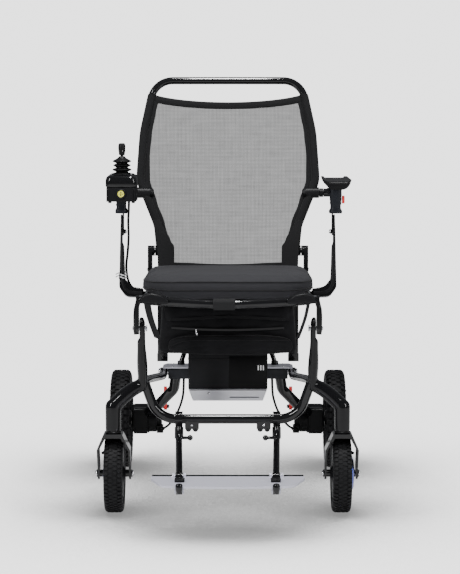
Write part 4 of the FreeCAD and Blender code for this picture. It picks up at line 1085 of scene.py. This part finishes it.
def pad_section(y, half, depth, thickness, low, x):
    """One cross-section of an armrest pad, a dished top with turned-up edges."""
    ring = []
    steps = 16
    for step in range(steps + 1):
        t = -1 + 2 * step / steps
        lip = max(0.0, (abs(t) - 0.62) / 0.38) ** 1.7
        ring.append(Vector((x + half * t, y, low + thickness + (depth - thickness) * lip)))
    for step in range(steps - 1, 0, -1):
        t = -1 + 2 * step / steps
        ring.append(Vector((x + half * t, y, low + (depth - 2.2 * MM) * abs(t) ** 4.2)))
    return ring


def armrest_pad(name):
    """Moulded rest, thin and dished, with turned-up edges and rounded ends."""
    low, high = (Vector(corner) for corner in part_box("armrest_pad_" + name))
    half, x = (high.x - low.x) / 2, (high.x + low.x) / 2
    sections = []
    count = 30
    for index in range(count):
        share = index / (count - 1)
        y = low.y + (high.y - low.y) * (0.5 - 0.5 * math.cos(math.pi * share))
        end = min(share, 1 - share)
        width = half * (1 - 0.22 * max(0.0, 1 - end / 0.16) ** 2.2)
        droop = 3.0 * MM * max(0.0, 1 - share / 0.2) ** 2
        thick = 19.5 * MM * (1 - 0.3 * max(0.0, 1 - end / 0.10) ** 2) - droop
        sections.append(pad_section(y, width, high.z - low.z - droop, thick, low.z, x))
    pad = loft("dished_pad_" + name, sections, "arm_" + name, "rubber", sharp=60)
    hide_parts("armrest_pad_" + name)


def waisted(name, node, body, stations, x):
    """A grip through rounded sections; stations are (share of the height, half width)."""
    low, high = (Vector(corner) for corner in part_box(node))
    centre = (low + high) / 2
    centre.x = x
    sections = []
    for share, half in stations:
        spot = Vector((centre.x, centre.y, low.z + (high.z - low.z) * share))
        sections.append(rounded_ring(spot, half * MM, (half + 1.2) * MM, half * 0.62 * MM,
                                     Vector((1, 0, 0)), Vector((0, 1, 0)), 7))
    piece = loft(name, sections, body, "grip_plastic", sharp=60)
    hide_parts(node)
    return low, high, centre


def arm_grips():
    """Waisted grips with finger scallops and a flared foot; the left has a push button."""
    low, high, centre = waisted(
        "waisted_grip", "arm_grip", "arm_left",
        [(0.00, 14.2), (0.02, 15.2), (0.10, 15.2), (0.13, 14.4), (0.17, 12.6), (0.24, 12.1),
         (0.32, 12.2), (0.40, 13.4), (0.47, 12.9), (0.56, 13.9), (0.64, 13.5), (0.74, 14.3),
         (0.86, 14.0), (0.96, 14.4), (1.0, 13.8)], 0.2525)
    waisted("joystick_stalk", "joystick_mount", "arm_right",
            [(0.00, 13.0), (0.04, 14.2), (0.20, 14.2), (0.30, 13.2), (0.40, 11.4), (0.60, 11.0),
             (0.80, 11.8), (1.0, 12.6)], -0.2495)
    button_low, button_high = (Vector(corner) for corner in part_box("arm_release_button"))
    button = (button_low + button_high) / 2
    rings = [rounded_ring(Vector((button_low.x + depth, button.y, button.z)),
                          (button_high.y - button_low.y) / 2 - inset,
                          (button_high.z - button_low.z) / 2 - inset, 3.2 * MM,
                          Vector((0, 1, 0)), Vector((0, 0, 1)))
             for depth, inset in ((0.0, 0.0), (0.0048, 0.0), (0.0060, 0.0010), (0.0062, 0.003),
                                  (0.0056, 0.0044))]
    cap = loft("red_button", rings, "release_button", "red_plastic")
    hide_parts("arm_release_button")
    lathe("pad_knob", Vector((centre.x - 18 * MM, low.y + 6 * MM, high.z + 1 * MM)),
          (0, 0, -1), [(0, 3.2), (5, 3.2), (6, 5.6), (11, 5.6), (12, 4.4)], "arm_left",
          "black_plastic", turns=24)


def blade_fittings():
    """Smoothed blades with their shells, bright screws at their tops, feet and arm pivots, and
    ties on the right blade.
    """
    for name, side in SIDES:
        pin = PLACE["arm_level_right"].copy()
        pin.x = side * 240 * MM
        body = "blade_" + name
        smooth_moulding("smooth_blade_" + name, "arm_blade_" + name, body, "carbon", 0.0014, 6)
        blade_shell(name, side)
        socket_screw("blade_screw_" + name, pin + Vector((side * 0.2 * MM, 0, 0)),
                     (-side, 0, 0), 5.0, body)
        foot = PLACE["blade_swing_" + name]
        socket_screw("blade_pivot_screw_" + name, Vector((side * 212.6 * MM, foot.y, foot.z)),
                     (side, 0, 0), 7.0, body)
        joint = PLACE["arm_flip"]
        socket_screw("arm_pivot_screw_" + name, Vector((side * 262.4 * MM, joint.y, joint.z)),
                     (side, 0, 0), 6.4, "backrest")
    for index, height in enumerate((530, 536)):
        cable_tie("cable_tie_%d" % index, height)


def blade_shell(name, side):
    """Outer skin of a J-shaped blade: deep at the bend, slimmer towards its head."""
    foot = PLACE["blade_swing_" + name]
    lean = Vector((0, 33, 143)).normalized()
    stations = [(200, 0, 90, 17), (208, 0, 90, 17), (220, 1, 86, 19), (231, 3, 74, 20),
                (240.5, 11, 45, 18), (245.2, 24, 16, 14.5), (246.4, 42, 4, 11.6),
                (246.6, 70, 0, 9.6), (247.0, 98, 0, 8.6), (247.5, 114, 0, 7.8),
                (249.2, 122, 0, 4.8), (249.3, 150, 0, 4.6)]
    sections = []
    for x, rise, turn, thick in stations:
        angle = math.radians(turn)
        across = Vector((side * math.cos(angle), 0, 0)) - lean * math.sin(angle)
        deep_way = Vector((1, 0, 0)).cross(lean)
        spot = Vector((side * x * MM, foot.y, foot.z)) + lean * rise * MM
        sections.append(rounded_ring(spot, thick / 2 * MM, 11.4 * MM, thick * 0.42 * MM,
                                     across, deep_way, 6))
    loft("blade_shell_" + name, sections, "blade_" + name, "black_plastic", sharp=70)


def cable_tie(name, height):
    """A loose nylon tie round the right blade and the joystick's lead, with its cut tail."""
    foot = PLACE["blade_swing_right"]
    y = foot.y + (height * MM - foot.z) * 0.2309
    ring = []
    for step in range(15):
        angle = 2 * math.pi * step / 14
        ring.append((-246 * MM + 9.5 * MM * math.cos(angle),
                     y + 5 * MM + 18.5 * MM * math.sin(angle),
                     height * MM + 2.6 * MM * math.cos(angle) + 3 * MM * math.sin(2 * angle)))
    ribbon(name, ring, (0, 0, 1), 0.0028, 0.0010, "blade_right", "tie_clip")
    start = Vector(ring[4])
    ribbon(name + "_tail", [start, start + Vector((-7, -9, 4)) * MM,
                            start + Vector((-15, -16, 1)) * MM],
           (0, 0, 1), 0.0024, 0.0008, "blade_right", "tie_clip")


def joystick_lead():
    """The joystick's own cable, from its base down the blade and in behind its foot."""
    points = [(-231, -50, 716), (-231.5, -49.5, 688), (-233.5, -49, 660), (-232, -49, 622),
              (-235, -49, 584), (-238.5, -48, 560), (-238, -42, 536), (-233, -43, 514),
              (-222, -48, 501), (-211, -54, 495), (-205, -62, 493)]
    route = [Vector(point) * MM for point in points]
    lead = along_path("joystick_cable", route, 0.0029, None, "cable")
    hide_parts("joystick_lead")
    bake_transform(lead)
    return lead


def motor_cables():
    """Motor cable on each side, a smooth loop down to the motor's socket."""
    first = None
    for name, side in SIDES:
        points = [(108.5, 131, 262), (109, 150, 222), (116, 184, 190), (126, 222, 160),
                  (141, 258, 130), (160, 286, 107), (174, 303, 101)]
        route = [Vector((side * x, y, z)) * MM for x, y, z in points]
        cable = along_path("motor_cable_" + name, route, 0.003, "rear_frame", "cable")
        lathe("cable_boot_" + name, route[-2].lerp(route[-1], 0.25), route[-1] - route[-2],
              [(0, 3.2), (3, 4.4), (10, 5.2), (17, 6.0), (18, 6.0)], "rear_frame", "rubber", 24)
        if first is None:
            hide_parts("motor_leads")
            first = cable


def bellows():
    """Rubber boot of the stick with three sharp ribs."""
    low = Vector(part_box("joystick_boot")[0])
    stick = PLACE["joystick_pitch"]
    centre = Vector((stick.x, stick.y, low.z))
    profile = [(0, 20.4), (0.6, 21.6), (2.2, 21.6), (3.4, 20.0), (5.0, 14.6), (6.4, 13.8),
               (9.2, 20.4), (10.4, 22.0), (11.8, 22.0), (13.0, 20.4), (15.2, 14.0), (16.6, 13.6),
               (19.2, 18.8), (20.4, 20.2), (21.6, 20.2), (22.8, 18.6), (25.0, 13.6),
               (26.2, 13.2), (28.6, 19.6), (29.6, 21.6), (30.8, 21.8), (32.4, 20.0),
               (36.0, 13.2), (38.6, 9.2), (41.2, 7.2), (42.0, 6.2)]
    boot = lathe("rubber_bellows", centre, (0, 0, 1), profile, "arm_right", "rubber", 64, 28)
    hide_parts("joystick_boot")
    return boot


def joystick():
    """Control box: rounded glossy lid, ribbed lower case, plate, port and bezel."""
    low, high = (Vector(corner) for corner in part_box("joystick_cover"))
    base_low, base_high = (Vector(corner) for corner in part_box("joystick_base"))
    middle = (low + high) / 2
    half_x, half_y = (high.x - low.x) / 2, (high.y - low.y) / 2
    u, v = Vector((1, 0, 0)), Vector((0, 1, 0))
    rings = []
    for share, inset, corner in ((0.0, 2.4, 10), (0.06, 1.0, 11), (0.16, 0.1, 12),
                                 (0.55, 0.0, 13), (0.74, 0.9, 13), (0.88, 3.2, 12),
                                 (0.96, 6.4, 10), (1.0, 10.0, 8)):
        spot = Vector((middle.x, middle.y, low.z + (high.z - low.z) * share))
        rings.append(rounded_ring(spot, half_x - inset * MM, half_y - inset * MM, corner * MM,
                                  u, v, 8))
    lid = loft("joystick_lid", rings, "arm_right", "gloss_black", sharp=50)
    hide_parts("joystick_cover")
    plate = [rounded_ring(Vector((middle.x, PLACE["joystick_pitch"].y, high.z + rise * MM)),
                          (27 - inset) * MM, (27 - inset) * MM, 4 * MM, u, v, 5)
             for rise, inset in ((-0.8, 0), (0.9, 0), (1.5, 0.8))]
    loft("joystick_plate", plate, "arm_right", "black_plastic")
    for dx in (-22.5, 22.5):
        for dy in (-22.5, 22.5):
            spot = Vector((middle.x + dx * MM, PLACE["joystick_pitch"].y + dy * MM,
                           high.z + 1.4 * MM))
            socket_screw("plate_screw_%d_%d" % (dx, dy), spot, (0, 0, 1), 1.9, "arm_right",
                         "steel")
    seam = [rounded_ring(Vector((middle.x, middle.y, low.z + rise * MM)), half_x - 2.6 * MM,
                         half_y - 2.6 * MM, 9 * MM, u, v, 8) for rise in (-1.2, 0.4)]
    loft("joystick_seam", seam, "arm_right", "rubber")
    front = base_low.y
    for index, dx in enumerate((-31, -27.5, 27.5, 31)):
        rib = [rounded_ring(Vector((middle.x + dx * MM, front - depth, (base_low.z + base_high.z)
                                    / 2 + 2 * MM)), 0.9 * MM, 12 * MM, 0.8 * MM, u,
                            Vector((0, 0, 1)), 3) for depth in (-0.001, 0.0008)]
        loft("base_rib_%d" % index, rib, "arm_right", "black_plastic")
    port = (Vector(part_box("charge_port")[0]) + Vector(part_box("charge_port")[1])) / 2
    face = Vector((port.x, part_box("charge_port")[0][1], port.z))
    lathe("port_disc", face, (0, -1, 0), [(-2.6, 7.6), (-1.3, 7.6), (-0.9, 7.0), (-0.7, 0.0)],
          "arm_right", "port_yellow")
    bezel = lathe("port_bezel", face, (0, -1, 0), [
        (-5, 9.6), (-5, 11.2), (-0.6, 11.2), (0.2, 10.2), (0.2, 8.9), (-0.8, 7.6), (-3.6, 7.4)],
                  "arm_right", "black_plastic")
    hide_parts("charge_port")
    for index, rise in enumerate((-3.4, 3.4)):
        lathe("port_dot_%d" % index, face + Vector((0, 0.0006, rise * MM)), (0, -1, 0),
              [(-0.4, 1.5), (0.3, 1.3), (0.3, 0.0)], "arm_right", "rubber", 20)
    bar = [rounded_ring(face + Vector((0, 0.0004 - depth, 0)), 5.6 * MM, 0.55 * MM, 0.4 * MM, u,
                        Vector((0, 0, 1)), 3) for depth in (0.0, 0.0006)]
    loft("port_line", bar, "arm_right", "rubber")


def joystick_knob():
    """Soft-touch knob with a rounded shoulder and a shallow dish on top."""
    high = Vector(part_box("joystick_stick")[1])
    stick = PLACE["joystick_roll"]
    top = (high.z - stick.z) / MM
    foot = top - 29
    profile = [(0, 3.4), (foot, 3.4), (foot + 0.6, 5.8), (foot + 2, 6.8), (foot + 5, 7.2),
               (foot + 11, 7.9), (foot + 17, 8.5), (foot + 22, 8.5), (foot + 26, 7.7),
               (foot + 28.2, 6.0), (top - 0.4, 3.6), (top - 0.9, 0)]
    knob = lathe("soft_knob", stick, (0, 0, 1), profile, "stick", "rubber", 48, 50)
    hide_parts("joystick_stick")
    lathe("knob_band", stick + Vector((0, 0, (foot + 9) * MM)), (0, 0, 1),
          [(0, 7.6), (0.5, 8.1), (1.5, 8.2), (2.0, 7.8)], "stick", "gloss_black", 40)


# ---------------------------------------------------------------------------
# footrest and rear
# ---------------------------------------------------------------------------

def footplate_details():
    """Rear edge strip and hinge screws of the plate."""
    low = Vector(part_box("footplate")[0])
    hinge = PLACE["footplate_flip"]
    for name, side in SIDES:
        start, end = (122.6, 168) if side > 0 else (-168, -122.6)
        strip = [rounded_ring(Vector((x * MM, hinge.y + 2.2 * MM, hinge.z + 0.4 * MM)),
                              1.6 * MM, 3.3 * MM, 1.2 * MM, Vector((0, 1, 0)),
                              Vector((0, 0, 1)), 3) for x in (start, end)]
        loft("plate_edge_" + name, strip, "footplate", "rubber")
        socket_screw("plate_hinge_screw_" + name, Vector((side * 122.2 * MM, hinge.y, hinge.z)),
                     (side, 0, 0), 4.4, "footplate")
    for name, side in SIDES:
        middle = Vector((side * 105.3 * MM, hinge.y - 53 * MM, hinge.z + 4 * MM))
        block = [rounded_ring(middle + Vector((0, 0, rise * MM)), 11 * MM - inset * MM,
                              13 * MM - inset * MM, 3 * MM, Vector((1, 0, 0)),
                              Vector((0, 1, 0)), 4)
                 for rise, inset in ((-4, 0), (2.0, 0), (3.0, 1.2))]
        loft("plate_clamp_" + name, block, "footplate", "black_plastic")
        lathe("plate_toe_" + name, Vector((middle.x, low.y + 7 * MM, hinge.z + 6 * MM)),
              (0, 0, -1), [(0, 4), (1, 6.6), (4, 8), (12, 8), (18, 6.6), (23, 3.8), (24.6, 0)],
              "footplate", "gloss_black", 32)
    strip = [rounded_ring(Vector((x * MM, hinge.y + 2.2 * MM, hinge.z + 0.4 * MM)), 1.6 * MM,
                          3.3 * MM, 1.2 * MM, Vector((0, 1, 0)), Vector((0, 0, 1)), 3)
             for x in (-92.4, 92.4)]
    loft("plate_edge_middle", strip, "footplate", "rubber")


def rear_details():
    """Screws on the motors' end plates and on the freewheel levers."""
    for name, side in SIDES:
        hub = PLACE["drive_spin_" + name]
        for index in range(4):
            angle = math.pi / 4 + math.pi / 2 * index
            spot = Vector((side * 0.1708, hub.y + 18 * MM * math.cos(angle),
                           hub.z + 18 * MM * math.sin(angle)))
            socket_screw("motor_screw_%s_%d" % (name, index), spot, (-side, 0, 0), 2.6,
                         "rear_frame", "steel")
        lever = PLACE["freewheel_lever_" + name]
        socket_screw("lever_screw_" + name, Vector((side * 0.1522, lever.y, lever.z)),
                     (-side, 0, 0), 4.0, "rear_frame")


# ---------------------------------------------------------------------------
# stage
# ---------------------------------------------------------------------------

def area_light(name, place, target, size, energy):
    light = bpy.data.lights.new(name, "AREA")
    light.shape = "RECTANGLE"
    light.size, light.size_y = size
    light.energy = energy
    lamp = bpy.data.objects.new(name, light)
    lamp.location = place
    direction = Vector(target) - Vector(place)
    lamp.rotation_euler = direction.to_track_quat("-Z", "Y").to_euler()
    bpy.context.scene.collection.objects.link(lamp)


def studio_floor():
    """Floor that the camera sees as white, with painted shadow: its glow dims by ambient
    occlusion where things stand on it.
    """
    mesh = bpy.data.meshes.new("studio_floor")
    reach = 30.0
    mesh.from_pydata([(-reach, -reach, 0), (reach, -reach, 0), (reach, reach, 0),
                      (-reach, reach, 0)], [], [(0, 1, 2, 3)])
    floor = bpy.data.objects.new("studio_floor", mesh)
    floor.location.z = cad_bounds[0][2] - 0.0004
    bpy.context.scene.collection.objects.link(floor)
    pale = Shade("studio_floor", (0.8, 0.8, 0.8), 0.6)
    # Painted shadow: ambient occlusion darkens the floor's camera-only glow near the chair, in
    # place of cast shadows.
    painted_shadow_occlusion = pale.nodes.new("ShaderNodeAmbientOcclusion")
    painted_shadow_occlusion.samples = 8
    pale.set(painted_shadow_occlusion, "Distance", 0.55)
    painted_shadow_falloff = pale.nodes.new("ShaderNodeMath")
    painted_shadow_falloff.operation = "POWER"
    pale.join(painted_shadow_occlusion, "AO", painted_shadow_falloff, 0)
    painted_shadow_falloff.inputs[1].default_value = 5.0
    seen = pale.nodes.new("ShaderNodeEmission")
    pale.links.new(pale.remap(painted_shadow_falloff.outputs[0], 0.3, WHITE), seen.inputs["Strength"])
    mix_by_camera(pale.nodes, pale.links, pale.shader.outputs[0], seen.outputs[0],
                  pale.nodes["Material Output"])
    mesh.materials.append(pale.material)


def mix_by_camera(nodes, links, lit, seen, output):
    """Send one shader to the camera and another to every other ray."""
    path = nodes.new("ShaderNodeLightPath")
    mix = nodes.new("ShaderNodeMixShader")
    links.new(path.outputs["Is Camera Ray"], mix.inputs["Fac"])
    links.new(lit, mix.inputs[1])
    links.new(seen, mix.inputs[2])
    links.new(mix.outputs[0], output.inputs["Surface"])


def stage():
    """White studio floor and surround, soft lights and the camera."""
    studio_floor()
    world = bpy.data.worlds.new("studio")
    bpy.context.scene.world = world
    world.use_nodes = True
    nodes, links = world.node_tree.nodes, world.node_tree.links
    seen = nodes.new("ShaderNodeBackground")
    seen.inputs["Color"].default_value = (1.0, 1.0, 1.0, 1.0)
    seen.inputs["Strength"].default_value = WHITE
    lit = nodes["Background"]
    lit.inputs["Color"].default_value = (0.93, 0.95, 1.0, 1.0)
    lit.inputs["Strength"].default_value = 0.22
    mix_by_camera(nodes, links, lit.outputs[0], seen.outputs[0], nodes["World Output"])

    area_light("key", (-2.4, -2.6, 2.4), (0, 0, 0.5), (0.35, 2.4), 120)
    area_light("fill", (2.7, -2.2, 1.9), (0, 0, 0.5), (0.3, 2.4), 70)
    area_light("top", (0, -0.5, 3.2), (0, 0, 0.4), (0.3, 0.5), 90)

    camera_data = bpy.data.cameras.new("camera")
    camera_data.lens = 119.09
    camera_data.sensor_width = 36.0
    camera = bpy.data.objects.new("camera", camera_data)
    camera.location = CAMERA_AT
    camera.rotation_euler = (math.radians(90 - CAMERA_DOWN), 0, 0)
    bpy.context.scene.collection.objects.link(camera)
    bpy.context.scene.camera = camera


dress_frame()
stage()
joystick_lead()
motor_cables()
wheels()
front_frame()
seat_cushion()
storage_bag()
seat_straps()
back_panel()
back_sleeves()
for label, _ in SIDES:
    armrest_pad(label)
arm_grips()
blade_fittings()
bellows()
joystick()
joystick_knob()
footplate_details()
rear_details()
